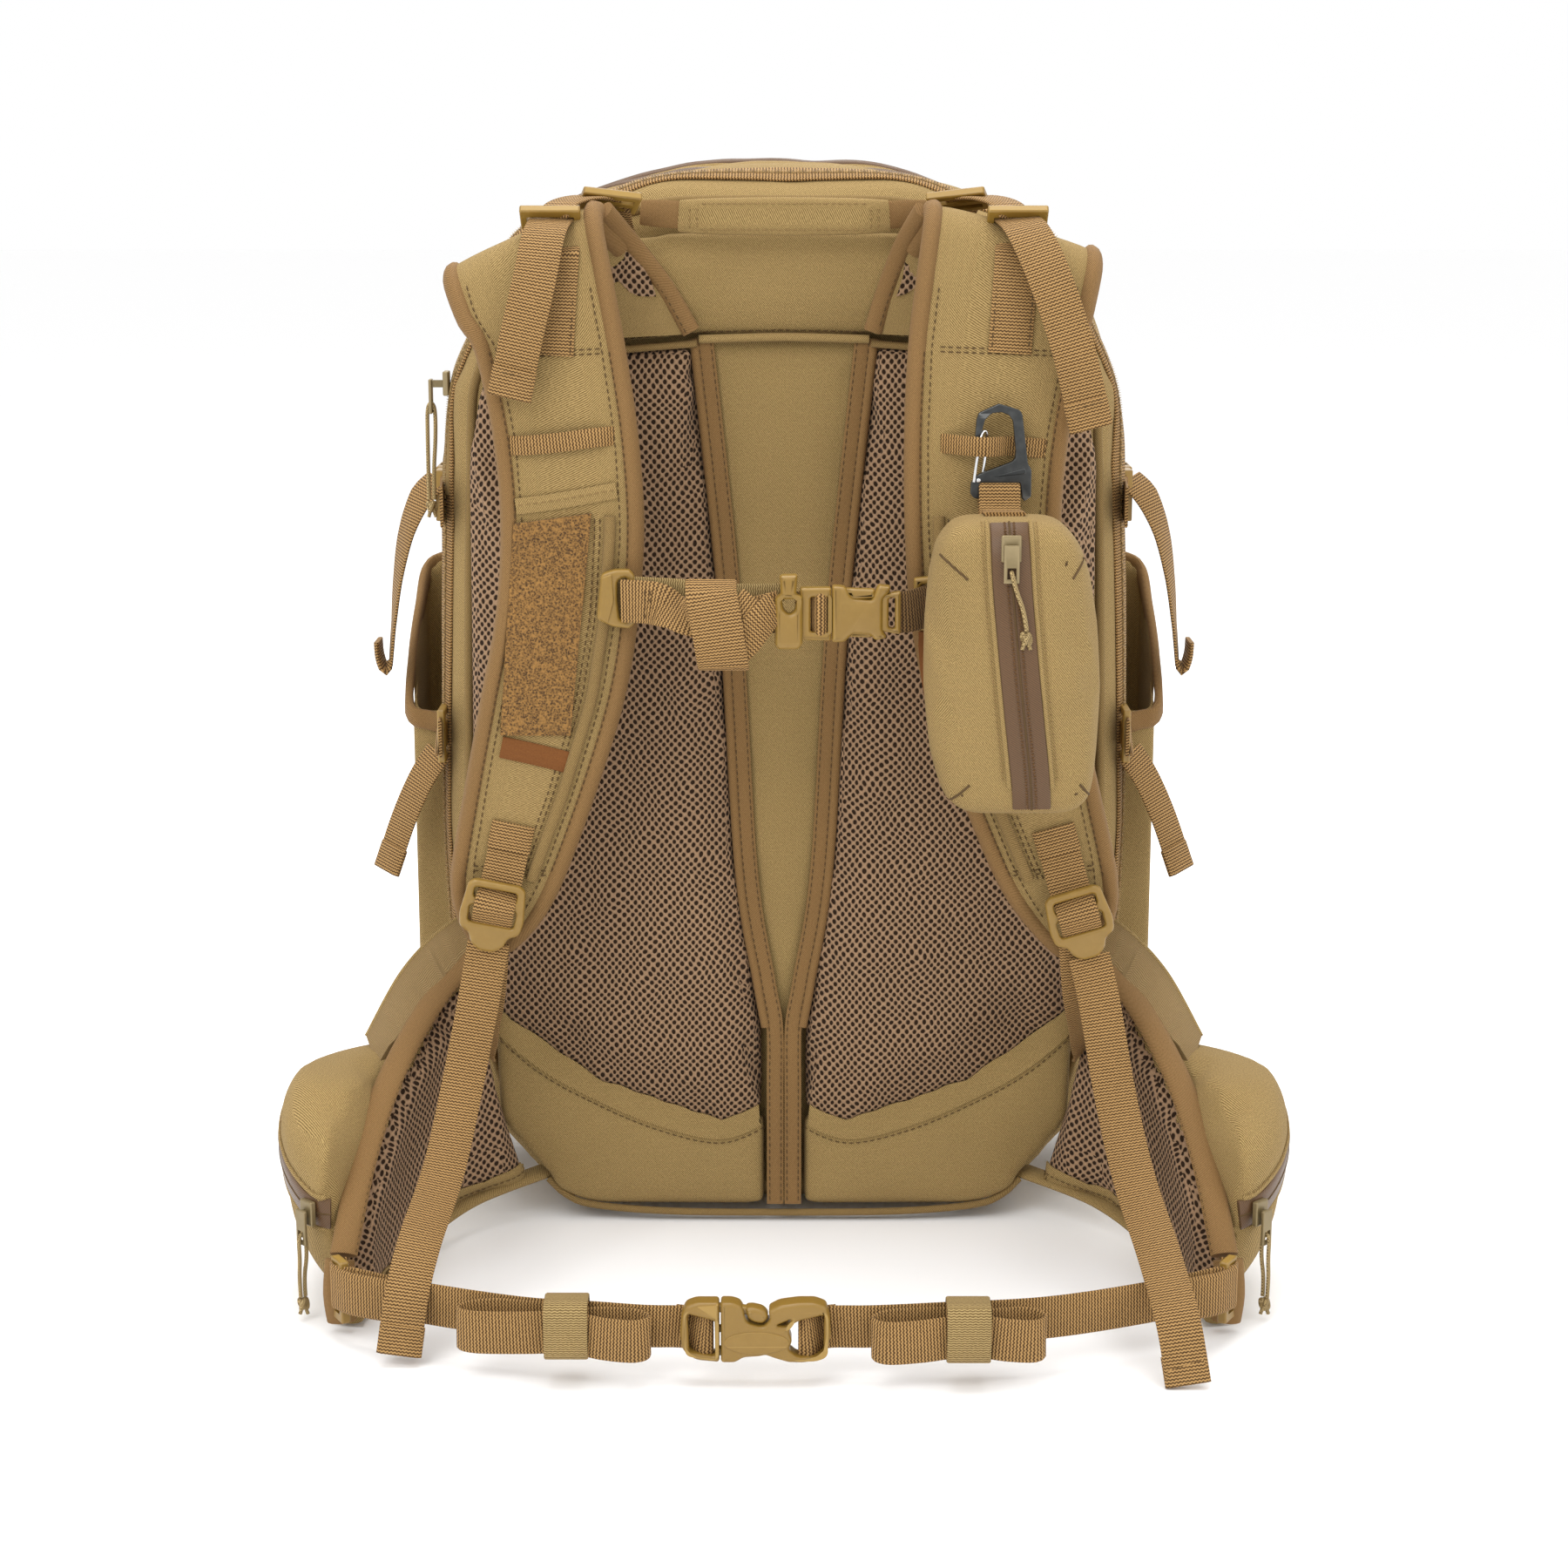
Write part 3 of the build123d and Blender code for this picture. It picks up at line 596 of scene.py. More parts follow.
class Board:
    """Lays nodes on one material's or group's tree."""

    def __init__(self, tree: bpy.types.NodeTree) -> None:
        """Works on a tree."""
        self.tree = tree

    def add(self, kind: str, values: dict[str | int, object] | None = None,
            **settings: object) -> bpy.types.Node:
        """Adds a node.

        Args:
            kind: Its type, without the ShaderNode prefix.
            values: Its inputs by name or number: a value, or a socket that is linked to it.
            **settings: Its own properties.

        Returns:
            The node.
        """
        node = self.tree.nodes.new("ShaderNode" + kind)
        for name, setting in settings.items():
            setattr(node, name, setting)
        for name, value in (values or {}).items():
            if isinstance(value, Socket):
                self.tree.links.new(value, node.inputs[name])
            else:
                node.inputs[name].default_value = value
        return node

    def math(self, operation: str, a: object, b: object = 0.0, c: object = 0.0) -> Socket:
        """One step of arithmetic."""
        return self.add("Math", {0: a, 1: b, 2: c}, operation=operation).outputs[0]

    def ramp(self, value: Socket, low: float, high: float, start: object = 0.0, end: object = 1.0) -> Socket:
        """The value carried smoothly from one range to another."""
        node = self.add("MapRange", {0: value, 1: low, 2: high, 3: start, 4: end},
                        interpolation_type="SMOOTHSTEP")
        return node.outputs[0]

    def mix(self, share: object, a: object, b: object) -> Socket:
        """Two colours mixed."""
        node = self.add("Mix", data_type="RGBA")
        for place, value in ((0, share), (6, a), (7, b)):
            if isinstance(value, Socket):
                self.tree.links.new(value, node.inputs[place])
            else:
                node.inputs[place].default_value = value
        return node.outputs[2]

    def use(self, group: bpy.types.NodeTree, **values: object) -> bpy.types.Node:
        """Places a shared effect."""
        node = self.tree.nodes.new("ShaderNodeGroup")
        node.node_tree = group
        for name, value in values.items():
            if isinstance(value, Socket):
                self.tree.links.new(value, node.inputs[name])
            else:
                node.inputs[name].default_value = value
        return node


def rgba(colour: Colour) -> tuple[float, float, float, float]:
    """A colour with full cover."""
    return (*colour, 1.0)


def effect(name: str, inputs: dict[str, tuple[str, object]], outputs: dict[str, str]) -> tuple[Board, dict,
        bpy.types.Node]:
    """Starts a shared effect.

    Args:
        name: The group's name.
        inputs: Kind of socket and starting value of each input.
        outputs: Kind of socket of each output.

    Returns:
        Its board, its inputs by name, and the node that its outputs feed.
    """
    tree = bpy.data.node_groups.new(name, "ShaderNodeTree")
    for key, (kind, value) in inputs.items():
        tree.interface.new_socket(key, in_out="INPUT", socket_type="NodeSocket" + kind).default_value = value
    for key, kind in outputs.items():
        tree.interface.new_socket(key, in_out="OUTPUT", socket_type="NodeSocket" + kind)
    board = Board(tree)
    start, end = tree.nodes.new("NodeGroupInput"), tree.nodes.new("NodeGroupOutput")
    return board, {key: start.outputs[key] for key in inputs}, end


class Effects:
    """The effects that several finishes share, each built once."""

    def __init__(self) -> None:
        """Builds every group."""
        self.flat = self.flat_map()
        self.weave = self.weave_threads()
        self.ribs = self.web_ribs()
        self.holes = self.mesh_holes()
        self.mottle = self.uneven_dye()
        self.wear = self.edge_wear()
        self.grain = self.fine_grain()

    @staticmethod
    def flat_map() -> bpy.types.NodeTree:
        """Cloth coordinates, in millimetres, flat to whichever main plane the surface is nearest to."""
        board, _, end = effect("flat_map", {}, {"Place": "Vector"})
        coordinate = board.add("TexCoord")
        place = board.add("VectorMath", {0: coordinate.outputs["Object"], 3: 1000.0},
                          operation="SCALE").outputs[0]
        p = board.add("SeparateXYZ", {0: place}).outputs
        turned = board.add("VectorMath", {0: coordinate.outputs["Normal"]}, operation="ABSOLUTE").outputs[0]
        n = board.add("SeparateXYZ", {0: turned}).outputs
        side = board.math("GREATER_THAN", n[0], board.math("MAXIMUM", n[1], n[2]))
        top = board.math("GREATER_THAN", n[2], board.math("MAXIMUM", n[0], n[1]))
        across = board.math("ADD", board.math("MULTIPLY", p[0], board.math("SUBTRACT", 1.0, side)),
                            board.math("MULTIPLY", p[1], side))
        along = board.math("ADD", board.math("MULTIPLY", p[2], board.math("SUBTRACT", 1.0, top)),
                           board.math("MULTIPLY", p[1], top))
        both = board.add("CombineXYZ", {0: across, 1: along}).outputs[0]
        board.tree.links.new(both, end.inputs["Place"])
        return board.tree

    @staticmethod
    def weave_threads() -> bpy.types.NodeTree:
        """Crossing threads, from a plain weave to a slanted twill."""
        board, given, end = effect("weave", {"Place": ("Vector", (0, 0, 0)), "Pitch": ("Float", 0.8),
                                             "Slant": ("Float", 0.5)}, {"Height": "Float", "Tone": "Float"})
        p = board.add("SeparateXYZ", {0: given["Place"]}).outputs
        rate = board.math("DIVIDE", 2 * math.pi, given["Pitch"])
        wobble = board.add("TexNoise", {0: given["Place"], "Scale": 0.35, "Detail": 2.0}).outputs[0]
        drift = board.math("MULTIPLY", wobble, 1.6)
        x = board.math("ADD", board.math("MULTIPLY", p[0], rate), drift)
        z = board.math("ADD", board.math("MULTIPLY", p[1], rate), drift)
        plain = board.math("MULTIPLY", board.math("SINE", x), board.math("SINE", z))
        slope = board.math("SINE", board.math("ADD", x, board.math("MULTIPLY", z, 0.8)))
        share = given["Slant"]
        blend = board.math("ADD", board.math("MULTIPLY", plain, board.math("SUBTRACT", 1.0, share)),
                           board.math("MULTIPLY", slope, share))
        fleck = board.add("TexNoise", {0: given["Place"], "Scale": 1.3, "Detail": 3.0}).outputs[0]
        height = board.math("ADD", board.math("MULTIPLY", blend, 0.5), fleck)
        board.tree.links.new(height, end.inputs["Height"])
        board.tree.links.new(board.ramp(height, 0.0, 1.0), end.inputs["Tone"])
        return board.tree

    @staticmethod
    def web_ribs() -> bpy.types.NodeTree:
        """Cross ribs of a web, broken by its lengthwise threads."""
        board, given, end = effect("web_ribs", {"Place": ("Vector", (0, 0, 0)), "Pitch": ("Float", 1.5),
                                                "Threads": ("Float", 1.4)},
                                                {"Height": "Float", "Tone": "Float"})
        p = board.add("SeparateXYZ", {0: given["Place"]}).outputs
        along = board.math("MULTIPLY", p[0], board.math("DIVIDE", 2 * math.pi, given["Pitch"]))
        across = board.math("MULTIPLY", p[1], board.math("DIVIDE", 2 * math.pi, given["Threads"]))
        step = board.math("MULTIPLY", board.math("SINE", across), 0.9)
        rib = board.math("SINE", board.math("ADD", along, step))
        fleck = board.add("TexNoise", {0: given["Place"], "Scale": 1.1, "Detail": 2.0}).outputs[0]
        height = board.math("ADD", board.math("MULTIPLY", rib, 0.5), fleck)
        board.tree.links.new(height, end.inputs["Height"])
        board.tree.links.new(board.ramp(height, -0.05, 1.0), end.inputs["Tone"])
        return board.tree

    @staticmethod
    def mesh_holes() -> bpy.types.NodeTree:
        """Staggered oval holes of a spacer mesh, with a raised ring round each."""
        board, given, end = effect("mesh_holes", {"Place": ("Vector", (0, 0, 0)), "Across": ("Float", 4.1),
                                                  "Down": ("Float", 4.6)},
                                                  {"Hole": "Float", "Height": "Float"})
        size = board.add("CombineXYZ", {0: given["Across"], 1: given["Down"], 2: 1.0}).outputs[0]
        bend = board.add("TexNoise", {0: given["Place"], "Scale": 0.06, "Detail": 1.0}).outputs[1]
        shift = board.add("VectorMath", {0: bend, 3: 5.0}, operation="SCALE").outputs[0]
        moved = board.add("VectorMath", {0: given["Place"], 1: shift}, operation="ADD").outputs[0]
        cell = board.add("VectorMath", {0: moved, 1: size}, operation="DIVIDE").outputs[0]
        reach = []
        for offset in ((0.0, 0.0, 0.0), (0.5, 0.5, 0.0)):
            part = board.add("VectorMath", {0: cell, 1: offset}, operation="ADD").outputs[0]
            part = board.add("VectorMath", {0: part}, operation="FRACTION").outputs[0]
            part = board.add("VectorMath", {0: part, 1: (0.5, 0.5, 0.0)}, operation="SUBTRACT").outputs[0]
            part = board.add("VectorMath", {0: part, 1: (1.12, 1.0, 0.0)}, operation="MULTIPLY").outputs[0]
            reach.append(board.add("VectorMath", {0: part}, operation="LENGTH").outputs[1])
        near = board.math("MINIMUM", *reach)
        board.tree.links.new(board.ramp(near, 0.215, 0.30, 1.0, 0.0), end.inputs["Hole"])
        board.tree.links.new(board.ramp(near, 0.18, 0.38), end.inputs["Height"])
        return board.tree

    @staticmethod
    def uneven_dye() -> bpy.types.NodeTree:
        """Slow changes of shade over a surface, with fine speckle."""
        board, given, end = effect("uneven_dye", {"Color": ("Color", (1, 1, 1, 1)), "Amount": ("Float", 0.2),
                                                  "Scale": ("Float", 14.0)}, {"Color": "Color"})
        place = board.add("TexCoord").outputs["Object"]
        slow = board.add("TexNoise", {0: place, "Scale": given["Scale"], "Detail": 4.0}).outputs[0]
        fast = board.add("TexNoise", {0: place, "Scale": 900.0, "Detail": 2.0}).outputs[0]
        change = board.math("ADD", board.math("MULTIPLY", slow, 0.7), board.math("MULTIPLY", fast, 0.3))
        value = board.math("MULTIPLY_ADD", board.math("SUBTRACT", change, 0.5),
                           board.math("MULTIPLY", given["Amount"], 2.0), 1.0)
        shade = board.add("CombineXYZ", {0: value, 1: value, 2: value}).outputs[0]
        mixed = board.add("VectorMath", {0: given["Color"], 1: shade}, operation="MULTIPLY").outputs[0]
        board.tree.links.new(mixed, end.inputs["Color"])
        return board.tree

    @staticmethod
    def edge_wear() -> bpy.types.NodeTree:
        """Where edges are rubbed paler."""
        board, given, end = effect("edge_wear",
                                   {"Color": ("Color", (1, 1, 1, 1)), "Worn": ("Color", (1, 1, 1, 1)),
                                                 "Amount": ("Float", 0.5)},
                                                 {"Color": "Color", "Mask": "Float"})
        sharp = board.add("NewGeometry").outputs["Pointiness"]
        rough = board.add("TexNoise", {0: board.add("TexCoord").outputs["Object"], "Scale": 220.0,
                                       "Detail": 4.0}).outputs[0]
        mask = board.ramp(board.math("ADD", sharp, board.math("MULTIPLY", rough, 0.06)), 0.53, 0.62)
        mask = board.math("MULTIPLY", mask, given["Amount"])
        board.tree.links.new(board.mix(mask, given["Color"], given["Worn"]), end.inputs["Color"])
        board.tree.links.new(mask, end.inputs["Mask"])
        return board.tree

    @staticmethod
    def fine_grain() -> bpy.types.NodeTree:
        """Fine pits of moulded or painted faces."""
        board, given, end = effect("fine_grain", {"Scale": ("Float", 1400.0)},
                                   {"Height": "Float", "Tone": "Float"})
        place = board.add("TexCoord").outputs["Object"]
        pits = board.add("TexNoise", {0: place, "Scale": given["Scale"], "Detail": 3.0}).outputs[0]
        cloud = board.add("TexNoise", {0: place, "Scale": 60.0, "Detail": 3.0}).outputs[0]
        board.tree.links.new(pits, end.inputs["Height"])
        board.tree.links.new(board.math("ADD", board.math("MULTIPLY", pits, 0.5),
                                        board.math("MULTIPLY", cloud, 0.5)),
                             end.inputs["Tone"])
        return board.tree


EFFECTS = Effects()


# ---- finishes -----------------------------------------------------------
def surface(name: str) -> tuple[Board, bpy.types.Node, bool]:
    """The board and shader of a material, and whether it still has to be filled."""
    known = bpy.data.materials.get(name)
    material = known or bpy.data.materials.new(name)
    material.use_nodes = True
    board = Board(material.node_tree)
    return board, material.node_tree.nodes["Principled BSDF"], known is None


def cloth_place(board: Board, lay: Lay) -> Socket:
    """Where a point of cloth is, in millimetres."""
    if lay is Lay.BOXED:
        return board.use(EFFECTS.flat).outputs["Place"]
    unwrapped = board.add("TexCoord").outputs["UV"]
    return board.add("VectorMath", {0: unwrapped, 3: 1000.0}, operation="SCALE").outputs[0]


def relief(board: Board, shader: bpy.types.Node, height: Socket, depth: float, strength: float = 0.6) -> None:
    """Raises a surface by a height."""
    bump = board.add("Bump", {"Height": height, "Distance": depth, "Strength": strength})
    board.tree.links.new(bump.outputs[0], shader.inputs["Normal"])


@dataclass(frozen=True)
class Fabric:
    """Woven cloth.

    Attributes:
        name: The material's name.
        light: Colour of the raised threads.
        dark: Colour between them.
        pitch: Thread spacing in millimetres.
        slant: 0 for a plain weave, 1 for twill.
        lay: How its threads run.
        depth: Relief in metres.
        roughness: How matt it is.
        coat: A thin sealing film, from none to full.
    """

    name: str
    light: Colour
    dark: Colour
    pitch: float = 0.9
    slant: float = 0.5
    lay: Lay = Lay.BOXED
    depth: float = 0.0003
    roughness: float = 0.85
    coat: float = 0.0

    def material(self) -> bpy.types.Material:
        """The cloth as a material."""
        name = f"{self.name}_{self.lay.value}"
        board, shader, fresh = surface(name)
        if fresh:
            threads = board.use(EFFECTS.weave, Place=cloth_place(board, self.lay), Pitch=self.pitch,
                                Slant=self.slant)
            tone = board.mix(threads.outputs["Tone"], rgba(self.dark), rgba(self.light))
            dyed = board.use(EFFECTS.mottle, Color=tone, Amount=0.16, Scale=16.0)
            board.tree.links.new(dyed.outputs[0], shader.inputs["Base Color"])
            rough = board.ramp(threads.outputs["Tone"], 0.0, 1.0, min(1.0, self.roughness + 0.08),
                               self.roughness)
            board.tree.links.new(rough, shader.inputs["Roughness"])
            shader.inputs["Sheen Weight"].default_value = 0.03
            shader.inputs["Sheen Roughness"].default_value = 0.5
            shader.inputs["Coat Weight"].default_value = self.coat
            shader.inputs["Coat Roughness"].default_value = 0.32
            shader.inputs["Specular IOR Level"].default_value = 0.16
            relief(board, shader, threads.outputs["Height"], self.depth)
        return bpy.data.materials[name]


@dataclass(frozen=True)
class Webbing:
    """Ribbed web or elastic, unwrapped along its length."""

    name: str
    light: Colour
    dark: Colour
    pitch: float = 1.5
    threads: float = 1.5
    depth: float = 0.0004

    def material(self) -> bpy.types.Material:
        """The web as a material."""
        board, shader, fresh = surface(self.name)
        if fresh:
            ribs = board.use(EFFECTS.ribs, Place=cloth_place(board, Lay.UNWRAPPED), Pitch=self.pitch,
                             Threads=self.threads)
            tone = board.mix(ribs.outputs["Tone"], rgba(self.dark), rgba(self.light))
            dyed = board.use(EFFECTS.mottle, Color=tone, Amount=0.14, Scale=30.0)
            board.tree.links.new(dyed.outputs[0], shader.inputs["Base Color"])
            rough = board.ramp(ribs.outputs["Tone"], 0.0, 1.0, 0.85, 0.6)
            board.tree.links.new(rough, shader.inputs["Roughness"])
            shader.inputs["Specular IOR Level"].default_value = 0.22
            shader.inputs["Sheen Weight"].default_value = 0.03
            relief(board, shader, ribs.outputs["Height"], self.depth, 0.7)
        return bpy.data.materials[self.name]


@dataclass(frozen=True)
class SpacerMesh:
    """Knitted mesh with oval holes over dark foam."""

    name: str = "spacer_mesh"
    thread: Colour = (0.285, 0.178, 0.102)
    hole: Colour = (0.024, 0.012, 0.005)
    across: float = 3.9
    down: float = 4.5

    def material(self) -> bpy.types.Material:
        """The mesh as a material."""
        board, shader, fresh = surface(self.name)
        if fresh:
            place = cloth_place(board, Lay.BOXED)
            holes = board.use(EFFECTS.holes, Place=place, Across=self.across, Down=self.down)
            threads = board.use(EFFECTS.weave, Place=place, Pitch=0.7, Slant=0.3)
            pale = tuple(min(1.0, c * 1.35) for c in self.thread)
            yarn = board.mix(threads.outputs["Tone"], rgba(self.thread), rgba(pale))
            tone = board.mix(holes.outputs["Hole"], yarn, rgba(self.hole))
            dyed = board.use(EFFECTS.mottle, Color=tone, Amount=0.12, Scale=12.0)
            board.tree.links.new(dyed.outputs[0], shader.inputs["Base Color"])
            board.tree.links.new(board.ramp(holes.outputs["Hole"], 0.0, 1.0, 0.72, 0.95),
                                 shader.inputs["Roughness"])
            shader.inputs["Sheen Weight"].default_value = 0.03
            shader.inputs["Specular IOR Level"].default_value = 0.16
            rise = board.math("ADD", holes.outputs["Height"],
                              board.math("MULTIPLY", threads.outputs["Height"], 0.15))
            relief(board, shader, rise, 0.0012, 0.8)
        return bpy.data.materials[self.name]


@dataclass(frozen=True)
class Moulded:
    """Satin moulded plastic with paler rubbed edges."""

    name: str
    colour: Colour
    worn: Colour
    roughness: float = 0.36

    def material(self) -> bpy.types.Material:
        """The plastic as a material."""
        board, shader, fresh = surface(self.name)
        if fresh:
            grain = board.use(EFFECTS.grain, Scale=1600.0)
            dyed = board.use(EFFECTS.mottle, Color=rgba(self.colour), Amount=0.12, Scale=35.0)
            worn = board.use(EFFECTS.wear, Color=dyed.outputs[0], Worn=rgba(self.worn), Amount=0.55)
            board.tree.links.new(worn.outputs["Color"], shader.inputs["Base Color"])
            rough = board.ramp(grain.outputs["Tone"], 0.3, 0.7, self.roughness - 0.07, self.roughness + 0.1)
            board.tree.links.new(rough, shader.inputs["Roughness"])
            shader.inputs["Subsurface Weight"].default_value = 0.06
            shader.inputs["Subsurface Scale"].default_value = 0.002
            shader.inputs["Subsurface Radius"].default_value = (1.0, 0.6, 0.2)
            relief(board, shader, grain.outputs["Height"], 0.00006, 0.5)
        return bpy.data.materials[self.name]


@dataclass(frozen=True)
class Metal:
    """Painted, anodised or bright metal."""

    name: str
    colour: Colour
    worn: Colour
    roughness: float = 0.35
    metallic: float = 1.0

    def material(self) -> bpy.types.Material:
        """The metal as a material."""
        board, shader, fresh = surface(self.name)
        if fresh:
            grain = board.use(EFFECTS.grain, Scale=2600.0)
            dyed = board.use(EFFECTS.mottle, Color=rgba(self.colour), Amount=0.1, Scale=50.0)
            worn = board.use(EFFECTS.wear, Color=dyed.outputs[0], Worn=rgba(self.worn), Amount=0.6)
            board.tree.links.new(worn.outputs["Color"], shader.inputs["Base Color"])
            shader.inputs["Metallic"].default_value = self.metallic
            rough = board.ramp(grain.outputs["Tone"], 0.3, 0.7, self.roughness - 0.08, self.roughness + 0.1)
            board.tree.links.new(rough, shader.inputs["Roughness"])
            relief(board, shader, grain.outputs["Height"], 0.00003, 0.4)
        return bpy.data.materials[self.name]


@dataclass(frozen=True)
class Pile:
    """Short curly loops of a fuzzy patch."""

    name: str = "loop_pile"
    light: Colour = (0.31, 0.155, 0.034)
    dark: Colour = (0.05, 0.021, 0.004)

    def material(self) -> bpy.types.Material:
        """The pile as a material."""
        board, shader, fresh = surface(self.name)
        if fresh:
            place = board.add("TexCoord").outputs["Object"]
            curl = board.add("TexNoise", {0: place, "Scale": 700.0, "Detail": 5.0,
                                          "Distortion": 2.0}).outputs[0]
            cell = board.add("TexVoronoi", {0: place, "Scale": 900.0}).outputs[0]
            depth = board.math("ADD", board.math("MULTIPLY", curl, 0.75), board.math("MULTIPLY", cell, 0.35))
            tone = board.mix(board.ramp(depth, 0.35, 0.72), rgba(self.dark), rgba(self.light))
            dyed = board.use(EFFECTS.mottle, Color=tone, Amount=0.25, Scale=40.0)
            board.tree.links.new(dyed.outputs[0], shader.inputs["Base Color"])
            board.tree.links.new(board.ramp(depth, 0.3, 0.8, 0.98, 0.85), shader.inputs["Roughness"])
            shader.inputs["Sheen Weight"].default_value = 0.06
            relief(board, shader, depth, 0.0012, 0.9)
        return bpy.data.materials[self.name]


@dataclass(frozen=True)
class Braid:
    """Braided cord: strands that cross along and round it."""

    name: str
    light: Colour
    dark: Colour

    def material(self) -> bpy.types.Material:
        """The braid as a material."""
        board, shader, fresh = surface(self.name)
        if fresh:
            place = board.add("TexCoord").outputs["Object"]
            scaled = board.add("VectorMath", {0: place, 3: 1000.0}, operation="SCALE").outputs[0]
            p = board.add("SeparateXYZ", {0: scaled}).outputs
            along = board.math("MULTIPLY", p[2], 2 * math.pi / 1.5)
            across = board.math("MULTIPLY", board.math("ADD", p[0], p[1]), 2 * math.pi / 1.1)
            one = board.math("SINE", board.math("ADD", along, across))
            two = board.math("SINE", board.math("SUBTRACT", along, across))
            height = board.math("MAXIMUM", one, two)
            tone = board.mix(board.ramp(height, -0.1, 1.0), rgba(self.dark), rgba(self.light))
            dyed = board.use(EFFECTS.mottle, Color=tone, Amount=0.2, Scale=90.0)
            board.tree.links.new(dyed.outputs[0], shader.inputs["Base Color"])
            board.tree.links.new(board.ramp(height, -1.0, 1.0, 0.85, 0.6), shader.inputs["Roughness"])
            relief(board, shader, height, 0.0003, 0.8)
        return bpy.data.materials[self.name]


KHAKI = Fabric("khaki_cloth", (0.435, 0.298, 0.120), (0.13, 0.082, 0.027), 1.0, 0.75)
KHAKI_CUT = Fabric("khaki_cloth", (0.435, 0.298, 0.120), (0.13, 0.082, 0.027), 1.0, 0.75, Lay.UNWRAPPED)
BINDING = Fabric("twill_binding", (0.31, 0.178, 0.066), (0.115, 0.06, 0.02), 0.8, 1.0, Lay.UNWRAPPED,
                 0.0002, 0.7)
PIPING = Fabric("khaki_piping", (0.35, 0.23, 0.088), (0.11, 0.066, 0.022), 0.9, 1.0, Lay.UNWRAPPED)
COATED = Fabric("coated_zip_tape", (0.135, 0.069, 0.027), (0.07, 0.034, 0.013), 1.1, 0.9, Lay.UNWRAPPED,
                0.0001, 0.42, 0.35)
LABEL = Fabric("woven_label", (0.22, 0.085, 0.024), (0.14, 0.05, 0.014), 0.6, 0.2, Lay.UNWRAPPED)
ZIP_CLOTH = Fabric("khaki_zip_cloth", (0.38, 0.25, 0.095), (0.15, 0.09, 0.03), 0.8, 1.0, Lay.UNWRAPPED)
WEBBING = Webbing("ribbed_web", (0.42, 0.243, 0.085), (0.058, 0.028, 0.008), 1.5, 1.7)
DARK_WEB = Webbing("dark_ribbed_web", (0.22, 0.125, 0.046), (0.04, 0.02, 0.007), 1.5, 1.7)
FLANGE_WEB = Webbing("wide_ribbed_elastic", (0.31, 0.205, 0.085), (0.17, 0.108, 0.042), 1.3, 9.0)
ELASTIC = Webbing("fine_elastic", (0.42, 0.295, 0.12), (0.13, 0.08, 0.026), 1.1, 2.4)
MESH = SpacerMesh()
FUZZ = Pile()
THREAD = Fabric("stitching_thread", (0.36, 0.235, 0.095), (0.19, 0.115, 0.04), 0.5, 1.0)
DARK_THREAD = Fabric("dark_thread", (0.15, 0.09, 0.038), (0.07, 0.04, 0.016), 0.5, 1.0)
MUSTARD = Moulded("mustard_acetal", (0.235, 0.135, 0.021), (0.40, 0.25, 0.06))
CARABINER = Metal("dark_anodised", (0.040, 0.042, 0.042), (0.22, 0.225, 0.22), 0.38, 0.8)
BRIGHT = Metal("bright_wire", (0.72, 0.72, 0.72), (0.9, 0.9, 0.9), 0.22)
SLIDER = Metal("painted_slider", (0.20, 0.15, 0.07), (0.36, 0.28, 0.15), 0.38, 0.45)
COIL = Moulded("zip_coil", (0.33, 0.22, 0.085), (0.45, 0.33, 0.16), 0.45)
CORD = Braid("braided_cord", (0.46, 0.33, 0.14), (0.16, 0.10, 0.03))
SHEET = Moulded("black_sheet", (0.02, 0.02, 0.02), (0.06, 0.06, 0.06), 0.5)
STAY = Metal("mill_aluminium", (0.6, 0.6, 0.62), (0.75, 0.75, 0.76), 0.4)
Finish = Fabric | Webbing | SpacerMesh | Moulded | Metal | Pile | Braid


def fit(piece: bpy.types.Object, body: str, finish: Finish, replaces: Sequence[str] = ()) -> bpy.types.Object:
    """Gives a piece its finish and the body that it moves with.

    Args:
        piece: The piece, in place.
        body: The body that it rides on.
        finish: What it is made of.
        replaces: The frame's solids that it stands for.

    Returns:
        The piece.
    """
    piece.data.materials.clear()
    piece.data.materials.append(finish.material())
    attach(piece, body)
    if replaces:
        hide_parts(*replaces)
    return piece


def stretch(piece: bpy.types.Object, finish: Finish,
            replaces: Sequence[str] = ()) -> bpy.types.Object:
    """Gives a piece its finish, fixes its place and hides what it replaces, but unlike fit() gives it no
    body; it is for a piece that runs between two bodies joined by one joint, and nothing here makes it bend.
    """
    piece.data.materials.clear()
    piece.data.materials.append(finish.material())
    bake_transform(piece)
    if replaces:
        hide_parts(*replaces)
    return piece


Outline = Sequence[tuple[float, float]]


def looped(name: str, path: Sequence[Vector], axis: Vector, width: float = 0.02, thickness: float = 0.0016,
           step: float = 0.003) -> bpy.types.Object:
    """A web that winds about an axis, its width along that axis."""
    line = list(path)
    faces = []
    for i in range(len(line)):
        along = line[min(i + 1, len(line) - 1)] - line[max(i - 1, 0)]
        faces.append(along.cross(axis).normalized())
    return web(name, line, faces, width, thickness, step=step)


def folded_end(name: str, tip: Vector, along: Vector, face: Vector,
               width: float = 0.0205) -> bpy.types.Object:
    """The thick stitched fold at a web's loose end."""
    back = tip - along.normalized() * 0.013
    return web(name, [back, tip + along.normalized() * 0.0005], face, width, 0.0042, step=0.006)


def eased_corners(outline: Outline, radius: float) -> list[tuple[float, float]]:
    """The outline with each corner rounded by up to a radius."""
    found = []
    for k in range(len(outline)):
        before, here, after = (Vector(outline[(k + d) % len(outline)]) for d in (-1, 0, 1))
        a, b = before - here, after - here
        cut = min(radius, a.length * 0.45, b.length * 0.45)
        a, b = here + a.normalized() * cut, here + b.normalized() * cut
        for t in np.linspace(0, 1, 6):
            found.append(tuple(a.lerp(here, t).lerp(here.lerp(b, t), t)))
    return found


